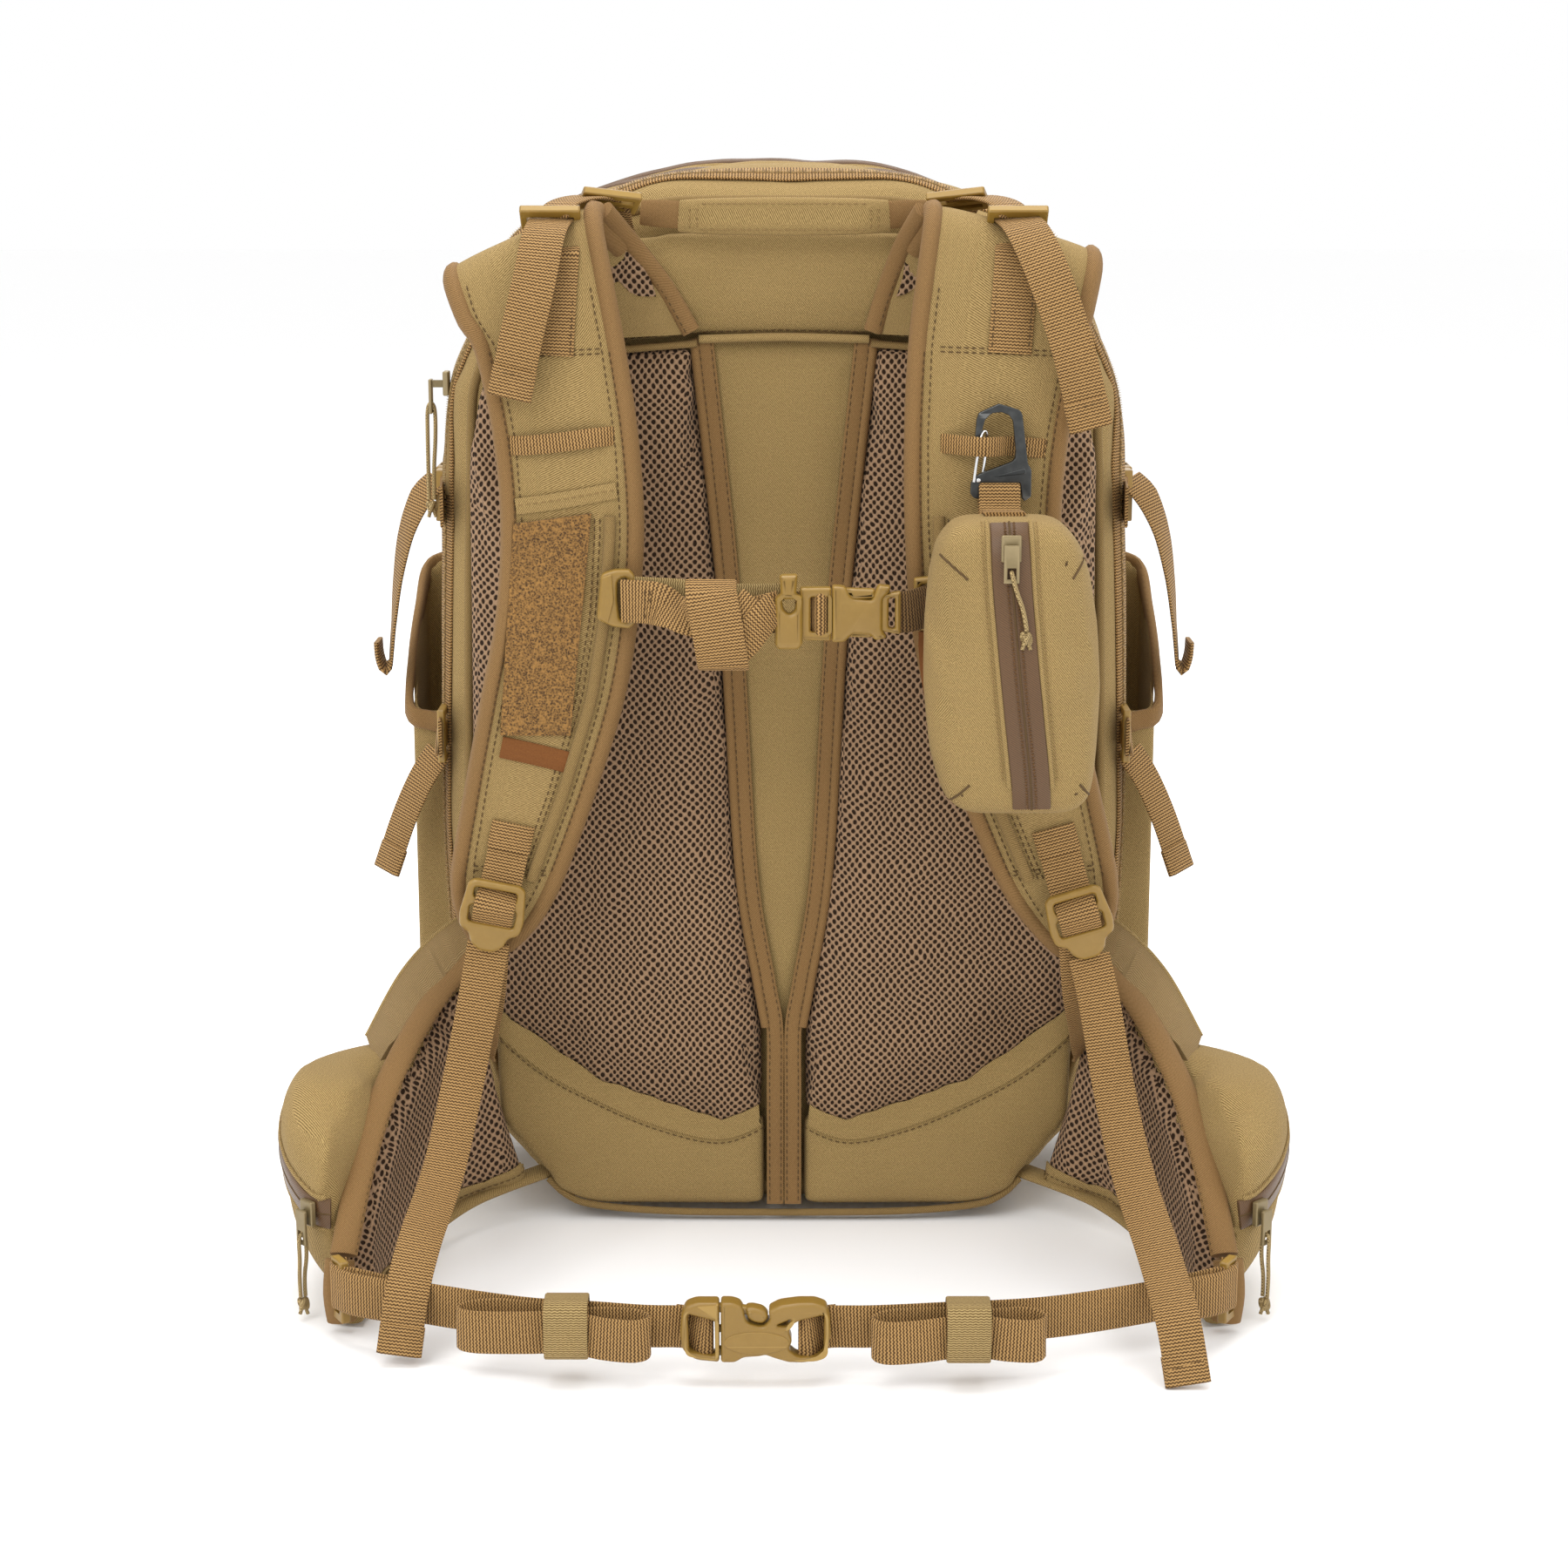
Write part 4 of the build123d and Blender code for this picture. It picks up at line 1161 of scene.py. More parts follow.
def moulding(name: str, outlines: Sequence[Outline], place: tuple[float, float, float], thickness: float,
             bevel: float,
             turn: float = 0.0, radius: float = 1.2) -> bpy.types.Object:
    """A part seen from the front, with holes and rolled edges.

    Args:
        name: The piece's name.
        outlines: Its outline and its holes, across and up from its place, in millimetres.
        place: Its middle, in millimetres.
        thickness: Its depth in millimetres.
        bevel: Radius of its rolled edges in millimetres.
        turn: How far it is turned anticlockwise in its own plane, in degrees.
        radius: Radius of its outline's corners in millimetres.

    Returns:
        The new piece.
    """
    data = bpy.data.curves.new(name, "CURVE")
    data.dimensions, data.fill_mode = "2D", "BOTH"
    for outline in outlines:
        corners = eased_corners(outline, radius)
        line = data.splines.new("POLY")
        line.points.add(len(corners) - 1)
        line.use_cyclic_u = True
        for point, (a, b) in zip(line.points, corners):
            point.co = (a, b, 0, 1)
    data.extrude, data.bevel_depth = thickness / 2 - bevel, bevel
    data.offset, data.bevel_resolution = -bevel, 3
    flat = bpy.data.objects.new(name + "_outline", data)
    bpy.context.scene.collection.objects.link(flat)
    mesh = bpy.data.meshes.new_from_object(flat.evaluated_get(bpy.context.evaluated_depsgraph_get()))
    bpy.data.objects.remove(flat)
    facing = Matrix(((1, 0, 0, 0), (0, 0, -1, 0), (0, 1, 0, 0), (0, 0, 0, 1)))
    scale = Matrix.Diagonal((0.001, 0.001, 0.001, 1))
    mesh.transform(Matrix.Translation(mm(*place)) @ scale @ facing @ Matrix.Rotation(math.radians(turn), 4,
            "Z"))
    work = bmesh.new()
    work.from_mesh(mesh)
    bmesh.ops.remove_doubles(work, verts=work.verts, dist=1e-6)
    bmesh.ops.recalc_face_normals(work, faces=work.faces)
    work.to_mesh(mesh)
    work.free()
    finish_shading(mesh, 40)
    obj = bpy.data.objects.new(name, mesh)
    bpy.context.scene.collection.objects.link(obj)
    return obj


def oval(x: float, y: float, a: float, b: float) -> list[tuple[float, float]]:
    """An ellipse's outline by its middle and half sizes, in millimetres."""
    return [(x + a * math.cos(t), y + b * math.sin(t)) for t in np.linspace(0, 2 * math.pi, 33)[:-1]]


def moved(piece: bpy.types.Object, change: Callable[[Vector], Vector]) -> None:
    """Moves each of a piece's points."""
    for vertex in piece.data.vertices:
        vertex.co = change(vertex.co)


# ---- bag ----------------------------------------------------------------
@dataclass
class Bag:
    """The three compartments, their zips and edge pipings."""

    body: str = "pack"
    rear_y: float = -0.0785
    main_zip_y: float = -0.059
    coated_zip_ys: tuple[float, float] = (0.009, 0.063)
    zip_width: float = 0.0115
    widening: tuple[float, float, float] = (1.026, 1.018, 1.0)
    soft: list[Stuffed] = field(default_factory=lambda: [
        Stuffed("main_bag", 0.006, 0.002, 0.006, 5, lambda p: p.y < -0.082, 2.5),
        Stuffed("front_bag", 0.006, 0.002, 0.007, 5, lambda p: p.y < 0.034, 2.5),
        Stuffed("stash_pocket", 0.005, 0.001, 0.008, 4, lambda p: p.y < 0.089, 3.0)])

    def over(self, skin: Skin, y: float, low: float, lift: float = 0.0005, turn: float = 0.40) -> Seam:
        """A path up one side of the bag, over its crown and down the other, in a plane of constant y."""
        aims = [(Vector((-0.3, y, z)), RIGHT) for z in np.arange(low, turn, 0.006)]
        for angle in np.linspace(0, math.pi, 96):
            away = Vector((-math.cos(angle), 0, math.sin(angle)))
            aims.append((Vector((0, y, turn)) + away * 0.35, -away))
        aims += [(Vector((0.3, y, z)), -RIGHT) for z in np.arange(low, turn, 0.006)[::-1]]
        seam: Seam = []
        for start, toward in aims:
            place, normal, _, _ = skin.tree.ray_cast(start, toward, 0.4)
            if place is None:
                place, normal, _, _ = skin.tree.find_nearest(start + toward * 0.13)
            normal = -normal if normal.dot(toward) > 0 else normal
            seam.append((place + normal * lift, normal))
        return self.eased(seam)

    @staticmethod
    def eased(seam: Seam) -> Seam:
        """The seam with its bumps averaged out and no two points on top of each other."""
        kept = [seam[0]]
        for place, normal in seam[1:]:
            if (place - kept[-1][0]).length > 0.003:
                kept.append((place, normal))
        for _ in range(3):
            middle = [((a[0] + b[0] * 2 + c[0]) / 4, (a[1] + b[1] * 2 + c[1]).normalized())
                      for a, b, c in zip(kept, kept[1:], kept[2:])]
            kept = [kept[0], *middle, kept[-1]]
        return kept

    @staticmethod
    def shifted(seam: Seam, by: Vector, lift: float = 0.0) -> Seam:
        """The seam moved sideways, and off the surface."""
        return [(place + by + normal * lift, normal) for place, normal in seam]

    def build(self) -> None:
        """Dresses the stuffed compartments and lays every zip, piping and seam on them."""
        for soft, wider in zip(self.soft, self.widening):
            moved(soft.piece, lambda p: Vector((p.x * wider, p.y, p.z)))
            fit(soft.piece, self.body, KHAKI, [soft.node])
        main, front = Skin(self.soft[0].piece), Skin(self.soft[1].piece)
        stash = Skin(self.soft[2].piece)
        aside = Vector((0, 1, 0))
        zip_line = self.over(main, self.main_zip_y, 0.07)
        fit(tape("main_zip_tape", zip_line, 0.015, 0.0020), self.body, WEBBING,
            ["main_zipper"])
        fit(stitches("main_zip_coil", [self.shifted(zip_line, aside * 0.0, 0.0010)], 0.0009, 0.0003,
                     0.0011), self.body,
            COIL)
        edge = self.over(main, self.rear_y, 0.03, 0.0012)
        fit(rolled("rear_piping", edge, 0.0024, 0.0024), self.body, PIPING)
        seams = [self.shifted(zip_line, aside * -0.0055, 0.0008),
                 self.shifted(zip_line, aside * 0.0055, 0.0008)]
        for y, skin, low, number in ((self.coated_zip_ys[0], main, 0.12, 1),
                                     (self.coated_zip_ys[1], front, 0.16, 2)):
            line = self.over(skin, y, low, 0.0006)
            fit(tape(f"coated_zip_{number}", line, self.zip_width, 0.0056), self.body, COATED,
                ["front_zippers"])
            fit(rolled(f"coated_zip_crease_{number}", self.shifted(line, Vector(), 0.0027), 0.0006, 0.0006),
                self.body,
                DARK_THREAD)
            for side in (-1, 1):
                border = self.shifted(line, aside * side * 0.0075, 0.0004)
                fit(rolled(f"coated_zip_hem_{number}_{'front' if side > 0 else 'rear'}", border, 0.0017,
                           0.0012), self.body,
                    KHAKI_CUT)
                seams.append(self.shifted(line, aside * side * 0.0105, 0.0))
        joint = self.over(main, 0.0245, 0.02, 0.0006)
        fit(rolled("middle_piping", joint, 0.0028, 0.0028), self.body, PIPING)
        self.stash_front(stash, front, seams)
        fit(stitches("bag_stitching", seams), self.body, THREAD)
        self.rear_zip(main)

    def stash_front(self, stash: Skin, front: Skin, seams: list[Seam]) -> None:
        """The outer pocket's binding, its zip, and the compartment's daisy web."""
        outline = run((-112, 130, 14), (-123, 130, 120), (-112, 130, 328), (-70, 130, 369), (70, 130, 369),
                      (112, 130, 328), (123, 130, 120), (112, 130, 14))
        rim = stash.lay([p * 0.965 + mm(0, 4, 6) for p in outline], -RIGHT.cross(UP) * -1.0)
        fit(rolled("stash_binding", rim, 0.0030, 0.0016), self.body, BINDING)
        inner = stash.lay([Vector((p.x * 0.93, p.y, 0.012 + p.z * 0.945)) for p in outline],
                          Vector((0, -1, 0)))
        seams.append(inner)
        mouth = front.lay(run((-74, 130, 386), (0, 130, 388), (74, 130, 386)), Vector((0, -1, 0)), 0.0010)
        fit(tape("stash_zip", mouth, 0.012, 0.0018), self.body, COATED)
        fit(rolled("stash_zip_crease", self.shifted(mouth, Vector(), 0.001), 0.0006, 0.0006), self.body,
            DARK_THREAD)
        for side in (-1, 1):
            seams.append(self.shifted(mouth, UP * side * 0.009))
        for number, z in enumerate((130, 170, 210, 250)):
            line = stash.lay(run((-78, 130, z), (0, 130, z + 1), (78, 130, z)), Vector((0, -1, 0)), 0.0009)
            fit(tape(f"stash_loop_web_{number}", line, 0.02, 0.0016), self.body, WEBBING)
            bars = []
            for x in (-74, -37, 0, 37, 74):
                bars.append(stash.lay(run((x, 130, z - 9), (x, 130, z), (x, 130, z + 9)),
                                      Vector((0, -1, 0)), 0.0020))
            fit(stitches(f"stash_bar_tacks_{number}", bars, 0.0018, 0.0004, 0.0005), self.body,
                DARK_THREAD)

    def rear_zip(self, skin: Skin) -> None:
        """The short straight zip on the bag's left side."""
        path = run((-200, -59, 450), (-200, -59, 425), (-200, -59, 395), (-200, -59, 370))
        line = skin.lay(path, RIGHT, 0.0012)
        fit(tape("rear_side_zip", line, 0.011, 0.0016), self.body, ZIP_CLOTH)


# ---- back panel ---------------------------------------------------------
PAD_BACK_Y = -0.0865  # where the pads and covers are sewn flat to the bag


@dataclass
class BackPanel:
    """Mesh pads, the khaki channel between them, the yoke above and the lumbar cover below."""

    body: str = "pack"
    channel: Sequence[tuple[float, float, float]] = ((38.4, -93, 449), (25.2, -93, 319), (17.6, -93, 187),
                                                     (8.6, -94.5, 128),
                                                     (4.7, -96.5, 104), (4.5, -97.6, 70), (4.5, -97.6, 10))
    soft: list[Stuffed] = field(default_factory=lambda: [
        Stuffed("left_back_pad", 0.005, 0.0015, 0.006, 7, lambda p: p.y > PAD_BACK_Y),
        Stuffed("right_back_pad", 0.005, 0.0015, 0.006, 7, lambda p: p.y > PAD_BACK_Y),
        Stuffed("lumbar_panel", 0.005, 0.001, 0.005, 5, lambda p: p.y > PAD_BACK_Y),
        Stuffed("spine_panel", 0.004, 0.0005, 0.002, 3, lambda p: p.y > PAD_BACK_Y),
        Stuffed("yoke_panel", 0.004, 0.001, 0.004, 4, lambda p: p.y > PAD_BACK_Y)])

    @staticmethod
    def rounded(p: Vector) -> Vector:
        """Where a point of the lumbar cover goes, with its lower corners rounded off."""
        aside = min(max((abs(p.x) - 0.088) / 0.034, 0.0), 1.0)
        low = min(max((0.055 - p.z) / 0.05, 0.0), 1.0)
        return Vector((p.x * (1 - 0.02 * aside * low), p.y, p.z + 0.011 * aside * aside * low))

    def build(self) -> None:
        """Dresses the pads and covers, and sews their bindings and seams."""
        moved(self.soft[2].piece, self.rounded)
        for soft in self.soft:
            mesh = "back_pad" in soft.node
            fit(soft.piece, self.body, MESH if mesh else KHAKI,
                [soft.node])
        pads, lumbar, yoke = Skin(self.soft[0].piece,
                                  self.soft[1].piece), Skin(self.soft[2].piece), Skin(self.soft[4].piece)
        rows: list[Seam] = []
        for side in SIDES:
            line = sided(run(*self.channel), side)
            fit(web(f"{side}_channel_binding", line, OUT, 0.0085, 0.0016), self.body, BINDING)
            away = RIGHT * SIDES[side]
            wide = [p + away * (0.0050 if i < 4 else 0.0045) - OUT * 0.0004 for i, p in enumerate(line)]
            fit(rope(f"{side}_channel_piping", wide[:5], 0.0024), self.body, BINDING)
            for shift in (-0.003, 0.0028):
                rows.append([(p + away * shift + OUT * 0.0009, OUT) for p in smooth_path(line)])
            hem = sided(run((9, -100, 55), (32, -100, 46.5), (62, -100, 53), (95, -100, 67), (124, -100, 84),
                            (148, -100, 105)), side)
            edges = [pads.lay([q + UP * 0.0045 for q in hem], -OUT, 0.0002),
                     lumbar.lay([q - UP * 0.0025 for q in hem], -OUT, 0.0003)]
            cover = [spaced([p for p, _ in edge], 44) for edge in edges]
            fit(patch(f"{side}_lumbar_seam", cover, 0.0016), self.body, KHAKI)
            rows.append(lumbar.lay([p - UP * 0.0045 for p in hem], -OUT))
            top = sided(run((42, -100, 452), (92, -100, 448), (143, -100, 444)), side)
            rows.append(yoke.lay(top, -OUT))
            fit(rope(f"{side}_pad_top_piping", [p + mm(0, 4.5, -5) for p in top], 0.0018), self.body,
                PIPING)
        rows.append(yoke.lay(run((-40, -100, 452.5), (0, -100, 453.5), (40, -100, 452.5)), -OUT))
        fit(rope("yoke_fold", run((-41, -94.5, 449), (0, -94.5, 450), (41, -94.5, 449)), 0.0021), self.body,
            KHAKI_CUT)
        fit(stitches("back_panel_stitching", rows), self.body, DARK_THREAD)
        base = run((-121, -90, 21), (-112, -92, 13), (-98, -93.5, 8), (-60, -95, 5), (0, -95.5, 4.5),
                   (60, -95, 5),
                   (98, -93.5, 8), (112, -92, 13), (121, -90, 21))
        fit(rope("base_piping", base, 0.0019), self.body, PIPING)


@dataclass
class GrabHandle:
    """Folded khaki band across the top of the yoke."""

    body: str = "grab_handle"
    y: float = -0.108

    def build(self) -> None:
        """Builds the padded middle, its two folded ends and the stitching across them."""
        low = run((-50, -103, 500), (-34, -107, 499), (0, -107.5, 498.5), (34, -107, 499), (50, -103, 500))
        high = run((-49, -103, 515), (-34, -107, 516), (0, -107.5, 516.5), (34, -107, 516), (49, -103, 515))
        band = padded_strip("handle_band", low, high, 0.007)
        fit(band, self.body, KHAKI_CUT, ["grab_handle"])
        skin = Skin(band)
        rows = []
        for side in SIDES:
            end = sided(run((68, -94, 509), (59, -98, 508.5), (47, -103.5, 508)), side)
            fit(web(f"{side}_handle_end", end, Vector((0.3 * SIDES[side], -1, 0.1)), 0.013, 0.003,
                    [0.9, 1.0, 1.0]),
                self.body, BINDING)
            rows += [skin.lay(sided(run((x, -120, 501), (x, -120, 514)), side), -OUT) for x in (44.5, 41.0)]
        for z in (501.5, 513.5):
            rows.append(skin.lay(run((-40, -120, z), (0, -120, z), (40, -120, z)), -OUT))
        fit(stitches("handle_stitching", rows), self.body, THREAD)


# ---- shoulder straps ----------------------------------------------------
Stations = Sequence[tuple[float, float, float]]


@dataclass
class ShoulderStrap:
    """One padded strap: the station lists run from the yoke, over the fold and down to the tip.

    Attributes:
        side: left or right.
        outer: Points along the edge away from the spine.
        inner: Points along the edge beside the spine.
        sewn_x: Where the web under the loose tail is sewn, at the fold and at its foot.
        tail: The load lifter's loose tail.
        lock_web: The web sewn above the ladder lock, down into its slots.
        fall: The loose web from the ladder lock to the floor.
        seam_z: Height of the sewn joint across the strap.
    """

    side: str
    outer: Stations
    inner: Stations
    sewn_x: tuple[float, float]
    tail: Stations
    lock_web: Stations
    fall: Stations
    seam_z: float
    body: str = "pack"
    thickness: float = 0.0115
    fold: int = 2

    def edge_x(self, share: float, z: float) -> float:
        """Where the strap's front is at a height, from its outer edge (0) to its inner one (1), in
        millimetres."""
        found = []
        for edge in (self.outer[4:], self.inner[4:]):
            found.append(float(np.interp(z, [p[2] for p in reversed(edge)], [p[0] for p in reversed(edge)])))
        return found[0] * (1 - share) + found[1] * share

    def down(self, skin: Skin, share: float, high: float, low: float, aside: float = 0.0,
             lift: float = 0.0004) -> Seam:
        """A seam down the strap's front.

        Args:
            skin: The strap's surface.
            share: How far across, from the outer edge to the inner one.
            high: Where it starts, in millimetres.
            low: Where it ends.
            aside: How far it is moved towards the strap's middle, in millimetres.
            lift: How far it stands off.

        Returns:
            The seam.
        """
        toward = 1.0 if (share < 0.5) == (self.side == "left") else -1.0
        path = [mm(self.edge_x(share, z) + toward * aside, -190, z) for z in np.linspace(high, low, 22)]
        return skin.lay(path, -OUT, lift)

    def build(self) -> None:
        """Builds the strap with its binding, seams and webs."""
        pad = padded_strip(f"{self.side}_strap_pad", run(*self.outer), run(*self.inner), self.thickness)
        fit(pad, self.body, KHAKI_CUT, [f"{self.side}_shoulder_strap"])
        skin = Skin(pad)
        self.bind()
        rows = [self.down(skin, 0.0, 478, 176, 10.2), self.down(skin, 1.0, 478, 176, 10.2)]
        rail = self.down(skin, 1.0, 372, 196, 15.0, 0.0012)
        fit(rolled(f"{self.side}_rail", rail, 0.0028, 0.0022), self.body, PIPING)
        rows += [self.down(skin, 1.0, 372, 196, 19.5), self.down(skin, 1.0, 372, 196, 22.0)]
        for z, slope in ((self.seam_z, 2.0), (203.0, -3.0)):
            a, b = self.edge_x(0.16, z), self.edge_x(0.84, z)
            cross = skin.lay([mm(a, -190, z), mm((a + b) / 2, -190, z + slope / 2), mm(b, -190, z + slope)],
                             -OUT)
            rows += [cross, [(p - UP * 0.0022, n) for p, n in cross]]
        self.sew_webs(skin, rows)
        self.hang_tails(rows)
        fit(stitches(f"{self.side}_strap_stitching", rows), self.body, DARK_THREAD)

    def bind(self) -> None:
        """The twill binding rolled round the strap's edges and tip."""
        outer, inner = run(*self.outer[self.fold:]), run(*self.inner[self.fold:])
        faces = [Vector((0, -0.2, 1)), Vector((0, -0.45, 1)), Vector((0, -0.9, 0.6)), Vector((0, -1, 0.25))]
        faces += [OUT.copy() for _ in range(len(outer) - len(faces))]
        inward = []
        for a, b in ((outer, inner), (inner, outer)):
            inward.append([p + (q - p).normalized() * 0.0040 for p, q in zip(a, b)])
        tip = (outer[-1] + inner[-1]) / 2 + mm(0, 0, -1.5)
        path = inward[0][:-1] + [outer[-1].lerp(tip, 0.3) + UP * 0.003, tip + UP * 0.003,
                                 inner[-1].lerp(tip, 0.3) + UP * 0.003] + inward[1][:-1][::-1]
        around = faces[:-1] + [OUT] * 3 + faces[:-1][::-1]
        binding = sweep(f"{self.side}_strap_binding", path, around, oval_profile(0.0047, 0.0068), 0.005)
        fit(binding, self.body, BINDING)
        s = SIDES[self.side]
        neck = [p + mm(s * -0.5, -1.2, 1) for p in run(*self.inner[:4])[::-1]]
        fit(sweep(f"{self.side}_neck_edge", neck, Vector((s * -0.25, -1, 0.25)),
                  oval_profile(0.0046, 0.0032)), self.body,
            BINDING)
        x = [abs(p[0]) for p in self.inner]
        lining = [run(*[(s * a, y, z) for a, y, z in row]) for row in (
            ((x[2] + 1, -111, 494), (x[2] + 6, -115, 499), (x[3] + 2, -118, 502)),
            ((x[1] + 7, -106.5, 479), (x[1] + 17, -108.5, 481), (x[3] + 3, -112, 484)),
            ((x[1] + 4, -104.6, 470), (x[1] + 17, -104.6, 466), (x[3] + 3, -106, 468)))]
        fit(patch(f"{self.side}_neck_mesh", lining, 0.0016), self.body, MESH)
        middle = [(a + b) / 2 for a, b in zip(outer, inner)]
        sewn = [[(p + mm(s * 2.4, -3.2, -0.4), OUT) for p in smooth_path(neck)]]
        for edge in (outer[4:-2], inner[4:-2]):
            inside = [p + (q - p).normalized() * 0.0068 + OUT * 0.0058 for p, q in zip(edge, middle[4:-2])]
            sewn.append([(p, OUT) for p in smooth_path(inside)])
        fit(stitches(f"{self.side}_binding_stitching", sewn), self.body, DARK_THREAD)

    def sew_webs(self, skin: Skin, rows: list[Seam]) -> None:
        """The flat web under the loose tail, and the web sewn above the ladder lock."""
        top, foot = self.sewn_x
        path = run((top, -190, 492), (top * 0.6 + foot * 0.4, -190, 475), (foot, -190, self.seam_z - 1))
        line = skin.lay(path, -OUT, 0.0009)
        line = [(mm(top, -137, 503.5), Vector((0, -0.6, 0.8)))] + line
        fit(tape(f"{self.side}_sewn_web", line, 0.02, 0.0016), self.body, WEBBING)
        rows += [[(p + RIGHT * s * 0.0085 + n * 0.0009, n) for p, n in line] for s in (-1, 1)]
        lock = run(*self.lock_web)
        fit(web(f"{self.side}_lock_web", lock, OUT, 0.0195, 0.0018), f"{self.side}_shoulder_lock",
            WEBBING)
        x, z, turn = (-139, 184, -11) if self.side == "left" else (141, 180, 17)
        frame_shape = [(-11, 13.5), (11, 13.5), (13.8, 11.5), (15.6, -4), (14.5, -10.5), (9.5, -13),
                       (8, -17.5), (3.5, -20.8),
                       (-3.5, -20.8), (-8, -17.5), (-9.5, -13), (-14.5, -10.5), (-15.6, -4), (-13.8, 11.5)]
        slots = [[(-10.4, 4.6), (10.4, 4.6), (10.4, 9.9), (-10.4, 9.9)],
                 [(-11.2, -7.6), (11.2, -7.6), (11.2, 0.8), (-11.2, 0.8)]]
        lock_name = f"{self.side}_shoulder_lock"
        body = moulding("frame", [frame_shape, *slots], (x, -165.2, z), 5.4, 1.7, turn, 2.0)
        fit(join(f"{lock_name}_frame", body), lock_name, MUSTARD, [lock_name])
        head = run(*self.lock_web)[:2]
        along = (head[1] - head[0]).normalized()
        fit(web(f"{self.side}_lock_web_fold", [head[0] - along * 0.002, head[0] + along * 0.011],
                OUT, 0.0205, 0.0042), self.body, WEBBING)

    def hang_tails(self, rows: list[Seam]) -> None:
        """The lifter's loose tail, the bridge between its buckles, and the long tail to the floor."""
        s = SIDES[self.side]
        tail = run(*self.tail)
        face = [Vector((0, -0.5, 0.8)), Vector((s * 0.15, -1, 0.35))] + [Vector((s * 0.12, -1,
                0.05))] * (len(tail) - 2)
        end = folded_end("fold", tail[-1], tail[-1] - tail[-2], face[-1])
        loose = join(f"{self.side}_lifter_tail", web("tail", tail, face), end)
        fit(loose, self.body, WEBBING, ["lifter_webs"])
        across = (tail[-1] - tail[-2]).normalized().cross(OUT)
        place = tail[-1] - (tail[-1] - tail[-2]).normalized() * 0.0105 + OUT * 0.0024
        rows.append([(place + across * k * 0.009, OUT) for k in np.linspace(-1, 1, 8)])
        bridge = sided(run((82, -103, 509.5), (86, -111, 515.5), (94, -120, 516.5), (103, -131, 514),
                           (108, -141, 508)),
                       self.side)
        fit(web(f"{self.side}_lifter_bridge", bridge, Vector((s * 0.2, -0.25, 1)), 0.0195), self.body,
            WEBBING)
        anchor = sided(run((80, -91, 499), (81, -98, 503), (82, -106, 511)), self.side)
        fit(web(f"{self.side}_lifter_anchor", anchor, Vector((0, -0.5, 1)), 0.0195), self.body,
            WEBBING)
        fall = run(*self.fall)
        hang = join(f"{self.side}_long_tail", web("tail", fall, OUT + UP * 0.3),
                    folded_end("fold", fall[-1], fall[-1] - fall[-2], OUT + UP * 0.1))
        stretch(hang, WEBBING,
                [f"{self.side}_strap_tail"])
        back = run((s * 142, -160, 166), (s * 145, -152, 138), (s * 150, -128, 112), (s * 152, -106, 96))
        fit(web(f"{self.side}_return_web", back, OUT + UP * 0.6), self.body, WEBBING)


@dataclass
class StrapDetails:
    """What is sewn on the straps: the pile patch, plain labels and the narrow accessory webs."""

    body: str = "pack"

    def build(self, left_pad: bpy.types.Object, right_pad: bpy.types.Object) -> None:
        """Sews the details onto the finished pads."""
        skin = Skin(left_pad)
        rows = []
        for z in np.linspace(371, 268, 9):
            share = (371 - z) / 103
            a, b = -125.5 - 8.5 * share, -89.5 - 11.5 * share
            drop = 2.5 * (1 - share)
            row = [mm(a + (b - a) * k, -190, z - drop + drop * k * 2) for k in np.linspace(0, 1, 5)]
            rows.append([p for p, _ in skin.lay(row, -OUT, 0.0013, 0.004)])
        count = min(len(row) for row in rows)
        fuzz = patch("pile_patch", [row[:count] for row in rows], 0.0022)
        fit(fuzz, self.body, FUZZ, ["hook_patch"])
        label = skin.lay(run((-134, -190, 262), (-118, -190, 258.5), (-102.5, -190, 254.5)), -OUT, 0.0008)
        fit(tape("plain_label", label, 0.0105, 0.0009), self.body, LABEL)
        overlay = skin.lay(run((-124.5, -190, 373.5), (-106, -190, 376), (-78, -190, 381)), -OUT, 0.0010)
        fit(tape("overlay_edge", [(p + UP * 0.003, n) for p, n in overlay], 0.0075, 0.0016), self.body,
            KHAKI_CUT)
        border = [[(p + UP * 0.0035 + n * 0.001, n) for p, n in overlay]]
        border.append(skin.lay(run((-126, -190, 368), (-128, -190, 320), (-135, -190, 268)), -OUT))
        border.append(skin.lay(run((-88.5, -190, 370), (-91, -190, 320), (-100, -190, 268)), -OUT))
        fit(stitches("patch_stitching", border), self.body, THREAD)
        left_loop = run((-129, -158, 404.6), (-120, -162.6, 405), (-104, -163.4, 406.5), (-88, -163, 408.6),
                        (-77, -158, 409.2))
        right_loop = run((71, -158, 405.8), (80, -165.5, 405.6), (90, -172.6, 405.4), (97, -170.4, 405.2),
                         (104, -164, 405),
                         (114, -162, 404), (124, -158, 403))
        narrow = join("accessory_webs", web("a", left_loop, OUT, 0.009, 0.0014),
                      web("b", right_loop, OUT, 0.009, 0.0012))
        fit(narrow, self.body, WEBBING, ["strap_loops"])
        side_label = Skin(right_pad).lay(run((66.5, -190, 318), (68, -190, 300), (70.5, -190, 285)), -OUT,
                                         0.0035)
        fit(tape("plain_edge_label", side_label, 0.006, 0.0009), self.body, LABEL)


